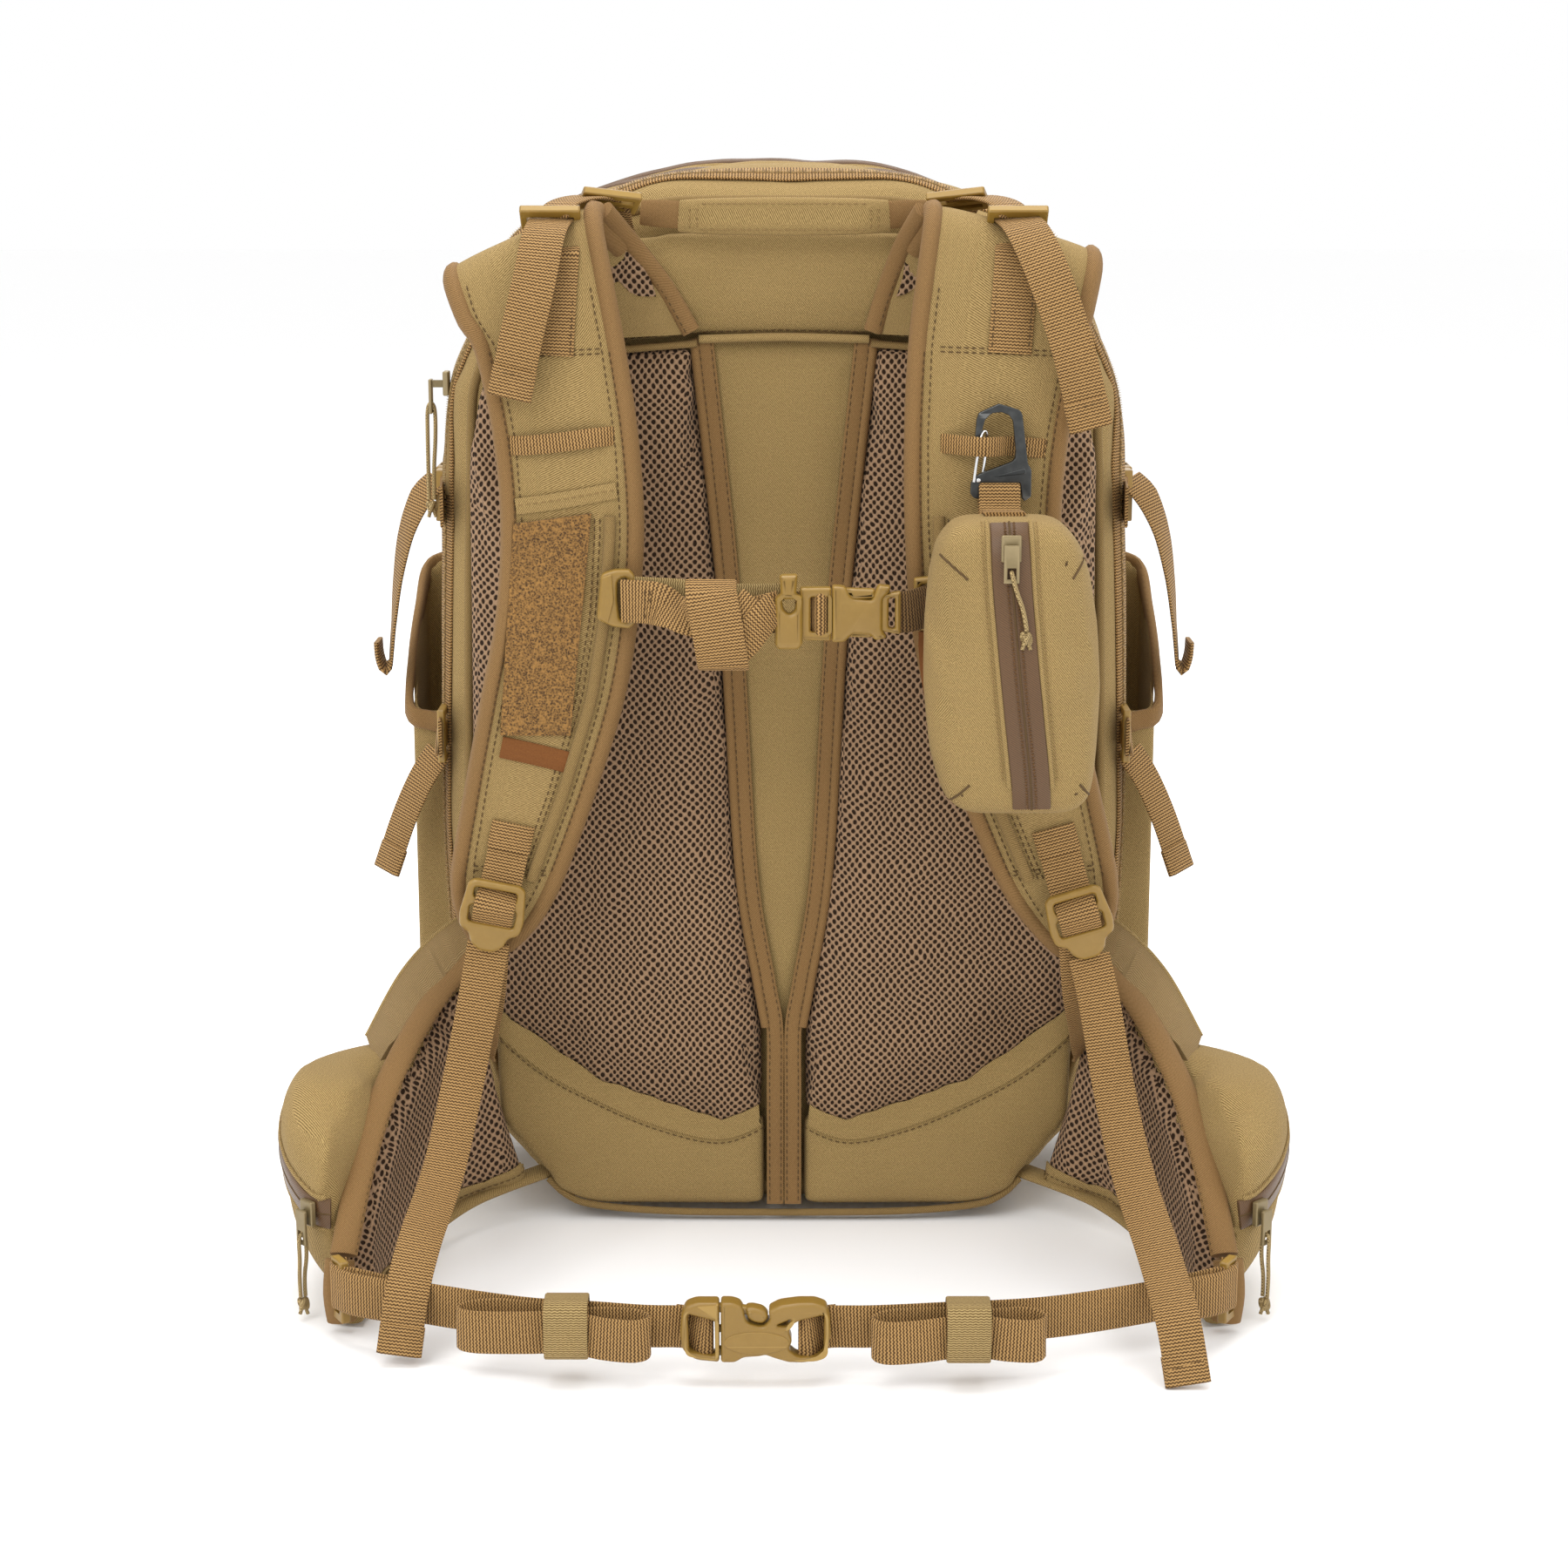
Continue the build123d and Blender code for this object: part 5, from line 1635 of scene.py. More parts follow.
# ---- sternum strap ------------------------------------------------------
@dataclass
class SternumStrap:
    """Webs of the chest strap: the adjusting web, its bunched spare length, and the elastic behind."""

    body: str = "sternum_strap"

    def build(self) -> None:
        """Builds every web of the chest strap."""
        main = run((-75.5, -173.5, 334), (-66, -175.5, 334), (-58, -177.5, 333), (-50, -180.5, 329.5),
                   (-42, -183, 327.5),
                   (-32, -183.5, 327), (-22, -183, 328), (-10, -180, 329), (-3, -177.5, 329.5))
        first = web("adjusting_web", main, [OUT, OUT, OUT + UP * 0.1, OUT + UP * 0.9, OUT + UP * 0.6, OUT,
                                            OUT - UP * 0.2,
                                            OUT, OUT], 0.02, 0.0022, [1, 1, 1, 0.9, 0.9, 1, 0.8, 0.9, 1])
        wrap = run((-33.5, -184, 345), (-33.5, -190.5, 341), (-31.5, -194, 330), (-29.5, -194, 317),
                   (-28, -190, 306.5),
                   (-28, -184.5, 305), (-29, -181.5, 311))
        second = web("wrap", wrap, [UP + OUT * 0.2, OUT + UP * 0.6, OUT, OUT - UP * 0.1, OUT - UP * 0.8,
                                    -UP, -OUT], 0.0235,
                     0.002)
        under = run((-43, -184.5, 339), (-40, -189.5, 334), (-36, -191.5, 322), (-33.5, -188, 308))
        third = web("under", under, [OUT - RIGHT * 0.5] * 4, 0.014, 0.0018)
        slant = run((-24, -190.5, 312), (-17, -190, 319), (-9.5, -187, 328), (-4, -182, 333))
        fourth = web("slant", slant, [OUT + RIGHT * 0.2, OUT + RIGHT * 0.3, OUT + RIGHT * 0.5,
                                      OUT + RIGHT * 0.6], 0.0155, 0.002)
        cross = run((-22, -189, 338), (-15, -188.5, 332), (-7, -184.5, 325))
        fifth = web("cross", cross, OUT + RIGHT * 0.5, 0.011, 0.0018)
        whole = join("sternum_adjusting_web", first, second, third, fourth, fifth)
        stretch(whole,
                WEBBING,
                ["sternum_left_web"])
        elastic = run((-71, -169.5, 341), (-48, -171, 340), (-22, -172.5, 338), (0, -172, 338))
        back = web("sternum_elastic", elastic, OUT, 0.008, 0.0016)
        stretch(back,
                ELASTIC)
        short = run((52, -178, 329.5), (57, -177, 329.6), (62, -173.5, 330.3), (67, -169, 331))
        fit(web("sternum_fixed_web", short, OUT + RIGHT * 0.3, 0.0195, 0.0026), self.body,
            DARK_WEB,
            ["sternum_right_web"])
        bars = [[(mm(x, -177.6, 334) + UP * k * 0.0088, OUT) for k in np.linspace(-1, 1,
                8)] for x in (-64.5, -62)]
        fit(stitches("sternum_stitching", bars), self.body, DARK_THREAD)


# ---- hip belt -----------------------------------------------------------
@dataclass
class HipBelt:
    """Wings, pockets, flanges and the waist web with its stowed bows."""

    body: str = "pack"
    plan: Sequence[tuple[float, float]] = ((144.0, -80.0), (150.0, -90.0), (172.0, -126.0), (189.0, -170.0),
                                           (199.0, -205.0), (205.0, -240.0))
    puck: tuple[float, float, float] = (174.0, -177.0, 76.5)
    belt_z: float = 27.0
    wings: list[Stuffed] = field(default_factory=lambda: [
        Stuffed(f"{side}_hip_wing", 0.004, 0.0012, 0.004, 3) for side in SIDES])
    pockets: list[Stuffed] = field(default_factory=lambda: [
        Stuffed(f"{side}_hip_pocket", 0.005, 0.0015, 0.006, 6) for side in SIDES])

    def wing_x(self, y: float) -> float:
        """Distance of a wing's middle from the mid plane, in millimetres."""
        return float(np.interp(-y, [-b for _, b in self.plan], [a for a, _ in self.plan]))

    def build(self) -> None:
        """Builds both halves of the belt."""
        for soft in self.wings:
            side = "left" if soft.node.startswith("left") else "right"
            moved(soft.piece, self.tucked)
            fit(soft.piece, self.body, KHAKI, [soft.node])
            soft.piece.data.materials.append(MESH.material())
            for face in soft.piece.data.polygons:
                if face.normal.x * SIDES[side] < -0.25:
                    face.material_index = 1
            self.wing_edges(side, Skin(soft.piece))
        for soft in self.pockets:
            side = "left" if soft.node.startswith("left") else "right"
            lowest = min(v.co.z for v in soft.piece.data.vertices)
            share = (0.066 - 0.007) / (0.066 - lowest)
            moved(soft.piece, lambda p: Vector((p.x, p.y,
                                                p.z if p.z > 0.066 else 0.066 - (0.066 - p.z) * share)))
            fit(soft.piece, self.body, KHAKI, [soft.node])
            self.pocket_zip(side, Skin(soft.piece))
            self.flange(side)
        self.waist_web()

    @staticmethod
    def tucked(p: Vector) -> Vector:
        """Where a point of a wing goes, with the foot of its root drawn in against the bag's lower corner."""
        near = min(max((p.y + 0.125) / 0.04, 0.0), 1.0)
        foot = min(max((0.090 - p.z) / 0.065, 0.0), 1.0)
        return Vector((p.x - math.copysign(0.022, p.x) * near * foot, p.y, p.z))

    def wing_edges(self, side: str, skin: Skin) -> None:
        """The brown top binding, the khaki lower edge and the seams beside them."""
        top = [(-82, 147), (-96, 144.5), (-126, 129.5), (-170, 103.5), (-205, 72.5), (-238, 38)]
        low = [(-82, 21), (-115, 17), (-150, 11.5), (-180, 6.5), (-205, 3.4), (-234, 3.0)]
        high_path = sided(run(*[(self.wing_x(y), y, z - 0.8) for y, z in top]), side)
        binding = sweep(f"{side}_wing_binding", high_path, UP + OUT * 0.4, oval_profile(0.0066, 0.0030),
                        0.005)
        fit(binding, self.body, BINDING)
        low_path = [self.tucked(p) for p in sided(run(*[(self.wing_x(y), y, z + 1.2) for y, z in low]), side)]
        fit(sweep(f"{side}_wing_lower_edge", low_path, -UP, oval_profile(0.0074, 0.0028), 0.005), self.body,
            KHAKI_CUT)
        tip = sided(run((206, -240.5, 6), (207, -243, 20), (206, -240.5, 36)), side)
        fit(sweep(f"{side}_wing_tip", tip, OUT, oval_profile(0.007, 0.0032), 0.005), self.body,
            BINDING)
        sewn = [(p - RIGHT * SIDES[side] * 0.0055 + OUT * 0.003 - UP * 0.001,
                 OUT) for p in smooth_path(high_path)]
        inward = RIGHT * SIDES[side]
        foot = skin.lay([p - inward * 0.05 + UP * 0.006 for p in low_path], inward, 0.0006)
        fit(tape(f"{side}_wing_facing", foot, 0.010, 0.0012), self.body, KHAKI_CUT)
        fit(stitches(f"{side}_wing_stitching", [sewn, [(p + n * 0.001, n) for p, n in foot]]), self.body,
            DARK_THREAD)

    def pocket_zip(self, side: str, skin: Skin) -> None:
        """The coated zip round the pocket's tilted rim, with seams on both sides of it."""
        centre = mm(*self.puck)
        line: Seam = []
        for angle in np.radians(np.linspace(-66, 34, 60)):
            away = Vector((math.cos(angle), math.sin(angle), 0.511 * math.sin(angle))).normalized()
            a, b = sided([centre + away * 0.12, centre], side)
            place, normal, _, _ = skin.tree.ray_cast(a, (b - a).normalized(), 0.2)
            if place is not None:
                normal = -normal if normal.dot(b - a) > 0 else normal
                line.append((place + normal * 0.0007, normal))
        line = Bag.eased(line)
        fit(tape(f"{side}_pocket_zip", line, 0.0150, 0.0024), self.body, COATED)
        fit(rolled(f"{side}_pocket_zip_crease", Bag.shifted(line, Vector(), 0.001), 0.0006, 0.0006),
            self.body,
            DARK_THREAD)
        tilt = Vector((0, -0.455, 0.89))
        rows = [Bag.shifted(line, tilt * s * 0.0112, -0.0002) for s in (-1, 1)]
        rows = [[(skin.tree.find_nearest(p)[0] + n * 0.0004, n) for p, n in row] for row in rows]
        fit(stitches(f"{side}_pocket_stitching", rows), self.body, THREAD)
        for number, (row, rise) in enumerate(zip(rows, (-1, 1))):
            hem = [(p - tilt * rise * 0.0022, n) for p, n in row]
            fit(rolled(f"{side}_pocket_hem_{number}", hem, 0.0015, 0.0011), self.body, KHAKI_CUT)

    def flange(self, side: str) -> None:
        """The ribbed stabilizer flange from the bag's side down onto the pocket."""
        rows = [((161, -70, 157), (175, -90, 151), (191, -111, 136), (206, -131, 110)),
                ((158, -78, 154), (172, -101, 146), (187, -124, 129), (201, -146, 105)),
                ((154, -84, 150), (168, -110, 140), (182, -137, 121), (196, -160, 100)),
                ((150, -89, 146), (165, -118, 134), (179, -147, 114), (190, -172, 96))]
        sheet = patch(f"{side}_flange", [spaced(sided(run(*row), side), 9) for row in rows], 0.002, 0.003)
        fit(sheet, self.body, FLANGE_WEB, ["stabilizer_wings"])
        edge = sided(run(*rows[0]), side)
        fit(rope(f"{side}_flange_edge", edge, 0.0014), self.body, KHAKI_CUT)

    def waist_web(self) -> None:
        """The waist web on both sides of the buckle, each with its spare length in a bow under a keeper."""
        z = self.belt_z
        right = run((203, -247, z - 1), (196, -254, z), (165, -268, z - 1), (118, -283, z - 2),
                    (70, -292, z - 1),
                    (40, -295.5, z - 1), (20, -293.5, z - 2), (15, -296.5, z - 3), (10.8, -301, z - 4),
                    (7, -299, z - 4),
                   (7.5, -295, z - 4), (14, -292.2, z - 3), (24, -291.5, z - 2))
        left = run((-203, -247, z - 1), (-196, -254, z), (-165, -268, z - 1), (-118, -283, z - 2),
                   (-84, -291, z - 1),
                   (-62, -295, z - 1), (-45, -293.5, z - 2), (-40, -296.5, z - 3), (-35.5, -301, z - 4),
                   (-32, -299, z - 4),
                   (-32.5, -295, z - 4), (-39, -292.2, z - 3), (-49, -291.5, z - 2))
        right_bow = run((82, -295, z - 2), (62, -295.5, z - 2), (46, -298, z - 2), (39.5, -303, z - 3),
                        (45, -308.5, z - 3.5),
                        (60, -308, z - 3), (82, -304, z - 2), (100, -306.5, z - 3), (112, -306, z - 3.5),
                        (116, -300.5, z - 3),
                        (110, -295.5, z - 2), (97, -296, z - 2), (84, -299.5, z - 2))
        left_bow = run((-96, -291, z - 2), (-112, -288, z - 2), (-130, -285, z - 2), (-142, -286, z - 3),
                       (-146, -291, z - 3.5),
                       (-138, -296, z - 3.5), (-118, -298, z - 3), (-96, -300, z - 2), (-80, -305, z - 3),
                       (-66, -306.5, z - 3.5),
                       (-60, -302, z - 3), (-66, -297, z - 2), (-80, -295, z - 2), (-94, -296, z - 2))
        loops = {}
        for side, line, bow in (("right", right, right_bow), ("left", left, left_bow)):
            s = SIDES[side]
            wrap = run((s * 196, -254, z), (s * 207, -250, z), (s * 209, -243, z), (s * 203, -240, z))
            over = run((s * 208, -249, z - 1), (s * 199, -257.5, z - 1), (s * 186, -263.5, z - 1),
                       (s * 177, -267, z - 1))
            loops[side] = join(f"{side}_waist_web", looped("a", line, UP, step=0.005),
                               looped("b", bow, UP, step=0.0025),
                               looped("c", wrap, UP), looped("d", over, UP, 0.0205, 0.003))
        fit(loops["right"], self.body, WEBBING, ["right_belt_web"])
        stretch(loops["left"], WEBBING, ["left_belt_web"])
        for side, x, y in (("right", 82, -299.5), ("left", -97, -295.5)):
            path, faces = [], []
            for turn in np.linspace(0, 2 * math.pi, 25):
                c, s = math.cos(turn), math.sin(turn)
                dy = math.copysign(abs(c) ** 0.5, c) * 9.8
                dz = math.copysign(abs(s) ** 0.5, s) * 13.2
                path.append(mm(x, y + dy, 26.2 + dz))
                faces.append(Vector((0, c, s)))
            keeper = web(f"{side}_keeper", path, faces, 0.0195, 0.0014)
            if side == "right":
                fit(keeper, self.body, ELASTIC, ["belt_keepers"])
            else:
                stretch(keeper, ELASTIC, ["belt_keepers"])


# ---- side pockets and compression webs ----------------------------------
@dataclass
class SideGear:
    """Open bottle pockets and the compression webs on both sides of the bag."""

    body: str = "pack"
    soft: list[Stuffed] = field(default_factory=lambda: [
        Stuffed(f"{side}_bottle_pocket", 0.003, 0.0, 0.0, 5) for side in SIDES])

    def build(self) -> None:
        """Dresses the pockets and hangs the webs."""
        for soft in self.soft:
            side = "left" if soft.node.startswith("left") else "right"
            fit(soft.piece, self.body, KHAKI, [soft.node])
            rim = [(167, -54), (180, -50.5), (191.5, -44), (193.5, -10), (193, 20), (191, 45), (180, 53),
                   (167, 59)]
            mouth = sided(run(*[(x, y, 248 + (y + 58) / 118 * 78) for x, y in rim]), side)
            fit(looped(f"{side}_pocket_mouth", mouth, UP, 0.010, 0.0042), self.body, BINDING)
            rows = [[(p - UP * 0.003 + RIGHT * SIDES[side] * 0.0024,
                      RIGHT * SIDES[side]) for p in smooth_path(mouth[2:6])]]
            fit(stitches(f"{side}_pocket_mouth_stitching", rows), self.body, THREAD)
            self.webs(side)

    def webs(self, side: str) -> None:
        """The upper and lower webs of one side, with their loose tails."""
        s = SIDES[side]
        face = RIGHT * s
        rear = sided(run((168.5, -82, 366), (170.5, -60, 366), (172, -40, 366), (174.5, -32, 366)), side)
        front = sided(run((174.5, 12, 366), (172.5, 20, 366), (170.5, 40, 365), (165, 62, 364)), side)
        tail = sided(run((176, -27, 374), (184, -31, 366), (192, -34, 348), (197, -34, 325),
                         (200, -34, 300), (202, -34, 280)),
                     side)
        turn = [Vector((s * 0.5, -0.6, 0.7)), Vector((s * 0.8, -0.8, 0.5)), Vector((s * 1, -0.55, 0.3)),
                Vector((s * 1, -0.32, 0.1)), Vector((s * 1, -0.18, 0)), Vector((s * 1, -0.15, 0))]
        flap = sided(run((202, -34, 281), (205, -35, 277), (207.5, -35, 284), (208, -35, 292)), side)
        low = sided(run((172, -82, 250), (173, -74, 250), (175, -70, 246)), side)
        drop = sided(run((175, -67, 240), (184, -68, 226), (193, -70, 206), (202, -72, 180)), side)
        slant = Vector((s * 0.65, -0.75, 0.3))
        parts = [web("a", rear, face), web("b", front, face), web("c", tail, turn, 0.0195),
                 looped("d", flap, Vector((0, 1, 0)), 0.0195, 0.0024), web("e", low, face, 0.0195),
                 web("f", drop, slant, 0.018), folded_end("g", drop[-1], drop[-1] - drop[-2], slant, 0.0185)]
        fit(join(f"{side}_compression_webs", *parts), self.body, WEBBING, ["side_webs"])


# ---- pouch and carabiner ------------------------------------------------
@dataclass
class Pouch:
    """Zipped accessory pouch with its hanging loop."""

    body: str = "pouch"
    soft: list[Stuffed] = field(default_factory=lambda: [
        Stuffed("pouch_body", 0.004, 0.0015, 0.005, 5, lambda p: p.y > -0.1785, whole=False)])
    zip_line: Sequence[tuple[float, float, float]] = ((100.4, -250, 375.5), (101.6, -250, 350),
                                                      (104.5, -250, 320),
                                                      (108.0, -250, 288), (111.2, -250, 262),
                                                      (112.6, -250, 247))

    def build(self) -> None:
        """Dresses the pouch, lays its zip, seams and darts, and hangs the loop."""
        piece = self.soft[0].piece
        heights = (0.238, 0.25, 0.27, 0.30, 0.33, 0.352, 0.366, 0.380)
        wide = (0.82, 0.94, 1.0, 1.02, 1.0, 0.96, 0.88, 0.74)
        middle = (0.1075, 0.1065, 0.105, 0.104, 0.103, 0.102, 0.101, 0.1)

        def shaped(p: Vector) -> Vector:
            """Where a point of the plain block goes."""
            x = float(np.interp(p.z, heights, middle)) + (p.x - 0.102) * float(np.interp(p.z, heights, wide))
            return Vector((x, p.y, p.z))

        moved(piece, shaped)
        fit(piece, self.body, KHAKI, ["pouch_body"])
        skin = Skin(piece)
        line = Bag.eased(skin.lay(run(*self.zip_line), -OUT, 0.0007))
        fit(tape("pouch_zip", line, 0.0172, 0.0016), self.body, COATED)
        fit(rolled("pouch_zip_crease", Bag.shifted(line, Vector(), 0.0009), 0.0005, 0.0005), self.body,
            DARK_THREAD)
        teeth = [Bag.shifted(line, RIGHT * x, 0.0007) for x in (-0.0021, 0.0021)]
        fit(stitches("pouch_zip_teeth", teeth, 0.0012, 0.0003, 0.0007), self.body, COATED)
        rows, hems = [], []
        for shift, number in ((-0.0098, 0), (0.0098, 1)):
            side = skin.lay([p + RIGHT * shift - p.y * Vector((0, 1, 0)) + OUT * 0.25 for p,
                             _ in line[::4]], -OUT, 0.0005)
            hems.append(rolled(f"pouch_hem_{number}", side, 0.0011, 0.0011))
            rows.append(skin.lay([p + RIGHT * shift * 0.26 for p, _ in side[::4]], -OUT, 0.0004))
        for hem in hems:
            fit(hem, self.body, KHAKI_CUT)
        fit(stitches("pouch_stitching", rows, 0.002, 0.001), self.body, THREAD)
        darts = [((70, 362), (82, 352)), ((136, 362), (129, 352)), ((74, 248), (84, 258)),
                 ((142, 248), (134, 258))]
        lines = [skin.lay([mm(a, -250, b), mm((a + c) / 2, -250, (b + d) / 2), mm(c, -250, d)], -OUT,
                          0.0002, 0.002)
                 for (a, b), (c, d) in darts]
        for number, dart in enumerate(lines):
            fit(rolled(f"pouch_dart_{number}", dart, 0.00055, 0.0005), self.body, DARK_THREAD)
        loop = run((99.5, -181, 373.5), (99.5, -174.5, 377), (99.5, -171.6, 382), (99.5, -170.2, 386.2),
                   (99.5, -167, 388),
                   (99.5, -163.6, 386), (99.5, -162.8, 380), (99.5, -168, 372), (99.5, -178, 369))
        hanger = looped("pouch_loop", loop, RIGHT, 0.019, 0.0018, 0.002)
        fit(hanger, self.body, WEBBING)
        tab = skin.lay(run((99.5, -205, 395), (99.5, -190, 395)), -UP, 0.0009)
        fit(tape("pouch_loop_foot", tab, 0.019, 0.0018), self.body, WEBBING)


# ---- cords --------------------------------------------------------------
@dataclass
class PullCord:
    """A doubled braided pull: up from its knot, through the pull's hole and back.

    Attributes:
        name: Name of the frame's solid that it stands for, and of its body.
        centre: Middle line from the knot's top to the hole, in millimetres.
        apart: The way through the hole.
        length: Length of its route, in metres.
        diameter: Thickness of the cord, in metres.
    """

    name: str
    centre: Stations
    apart: tuple[float, float, float]
    # length: Length of its route, in metres. Not used.
    length: float
    diameter: float = 0.002

    def route(self) -> Path:
        """The cord's own points, up one strand and down the other."""
        middle = run(*self.centre)
        apart = Vector(self.apart).normalized()
        spacing = [0.65 * self.diameter, 0.65 * self.diameter] + [self.diameter] * (len(middle) - 2)
        up = [p + apart * wide for p, wide in zip(middle, spacing)]
        down = [p - apart * wide for p, wide in zip(middle, spacing)]
        return up + down[::-1]

    def build(self) -> None:
        """Builds the cord as one smooth curve, with its knot."""
        points = self.route()
        data = bpy.data.curves.new(self.name + "_line", "CURVE")
        data.dimensions = "3D"
        line = data.splines.new("NURBS")
        line.points.add(len(points) - 1)
        for place, point in zip(line.points, points):
            place.co = (*point, 1.0)
        line.order_u = 3
        line.use_endpoint_u = True
        line.resolution_u = 10
        data.bevel_depth = self.diameter / 2
        data.bevel_resolution = 3
        data.use_fill_caps = True
        cord = bpy.data.objects.new(self.name + "_line", data)
        bpy.context.scene.collection.objects.link(cord)
        fit(cord, self.name, CORD, [self.name])
        knot = self.knot(run(*self.centre)[0])
        fit(knot, self.name, CORD)

    def knot(self, top: Vector) -> bpy.types.Object:
        """An overhand knot with two short cut ends."""
        coil: Path = []
        for turn in np.linspace(0, 2 * math.pi, 49):
            x = math.sin(turn) + 2 * math.sin(2 * turn)
            y = math.cos(turn) - 2 * math.cos(2 * turn)
            coil.append(top + mm(x * 0.66, y * 0.66, -3.6 - 2.1 * math.sin(3 * turn)))
        wound = sweep("a", coil, [p - top - mm(0.01, 0, -3.6) for p in coil],
                      oval_profile(0.00115, 0.00115, 8), 0.0012)
        ends = [rope(part, [top + mm(x, 0, -4), top + mm(x * 1.5, 0.3, -7), top + mm(x * 2.2, 0.2, -8.8)],
                     0.0009,
                     step=0.002) for part, x in (("b", -0.8), ("c", 0.9))]
        return join(self.name + "_knot", wound, *ends)


# ---- hardware -----------------------------------------------------------
@dataclass
class Hardware:
    """Moulded and metal parts whose solids stay as they are."""

    plastic: Sequence[str] = ("side_ladder_locks", "side_sockets", "strap_lifter_locks", "hip_triglides",
                              "left_lifter_lock", "right_lifter_lock", "left_side_plug", "right_side_plug")
    sliders: Sequence[str] = ("pouch_slider", "side_slider", "left_hip_slider", "right_hip_slider")

    def build(self) -> None:
        """Gives every kept solid its finish."""
        finishes = {**{n: MUSTARD for n in self.plastic}, **{n: SLIDER for n in self.sliders},
                    "frame_sheet": SHEET,
                    "frame_stays": STAY}
        for name, finish in finishes.items():
            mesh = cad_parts[name].data
            mesh.materials.clear()
            mesh.materials.append(finish.material())


@dataclass
class HipBuckle:
    """Side-release buckle of the waist web."""

    place: tuple[float, float, float] = (-12.7, -298.0, 25.8)

    def build(self) -> None:
        """Builds the socket with its oval pad, and the plug with its prong, arms and middle rib."""
        socket = [(-15.4, 14.2), (-10.1, 14.1), (-6.9, 12.9), (-5.4, 10.7), (-4.7, 7.2), (-3.2, 4.3),
                  (0.8, 3.0), (3.8, 3.0),
                  (6.7, 6.2), (5.7, 10.2), (10.7, 12.9), (19.1, 14.1), (26.5, 14.1), (31.5, 12.2),
                  (33.2, 6.7), (33.5, -1.2),
                  (32, -9.1), (28, -12.6), (21.6, -14.3), (14.7, -14.1), (8.2, -12.1), (4.5, -10.6),
                  (1.8, -11.3),
                  (-5.4, -11.8), (-9.1, -14.2), (-15.4, -14.2)]
        opening = [(19.4, 5.6), (30.6, 8.4), (30.4, -10.0), (26.5, -11.4), (18.6, -11.6), (14.6, -8.1),
                   (16.4, -4.2),
                   (14.9, 0.3), (15.9, 3.3)]
        notch = [(9.0, 3.3), (16.2, 6.4), (13.7, 2.7)]
        shell = moulding("shell", [socket, opening, notch], self.place, 10.5, 1.8, radius=1.6)
        x, y, z = self.place
        pad = moulding("pad", [oval(0.5, -4.4, 14.6, 5.2)], (x, y - 5.0, z), 1.6, 0.5)
        fit(join("hip_buckle_socket", shell, pad), "pack", MUSTARD, ["hip_socket"])
        frame_shape = [(-16.1, 14.1), (-26.4, 14.1), (-30.9, 12.4), (-32.9, 8.2), (-33.5, -0.2),
                       (-32.9, -7.1), (-30.4, -10.8),
                       (-25.9, -13.1), (-16.1, -14.1)]
        hole = [(-30.2, 8.8), (-18.0, 5.4), (-18.0, -11.2), (-29.6, -9.4)]
        holder = moulding("holder", [frame_shape, hole], self.place, 10.0, 1.7, radius=1.6)
        prong = moulding("prong", [[(-4.5, 11.2), (-1.2, 11.6), (3.6, 10.4), (6.2, 7.4), (3.8, 4.0),
                                    (0, 4.2), (-3.4, 6.2)]],
                         self.place, 9.0, 2.2, radius=2.0)
        rib = moulding("rib", [[(-18, -1.5), (-3, -1.2), (-3, 1.2), (-18, 1.5)]], (x, y + 1, z), 3.0, 0.4)
        arms = [[(-17.5, 12.2), (-9, 11.7), (-3.4, 11.0), (-3.0, 7.4), (-9, 8.4), (-17.5, 8.6)],
                [(-17.5, -8.4), (-9, -8.2), (-4, -7.2), (2, -6.4), (4.4, -9.0), (-2, -10.6), (-9, -11.5),
                 (-17.5, -12)]]
        parts = [moulding(f"arm_{number}", [arm], self.place, 4.6, 0.9, radius=1.0) for number,
                 arm in enumerate(arms)]
        fit(join("hip_buckle_plug", holder, prong, rib, *parts), "hip_plug", MUSTARD,
            ["hip_plug"])


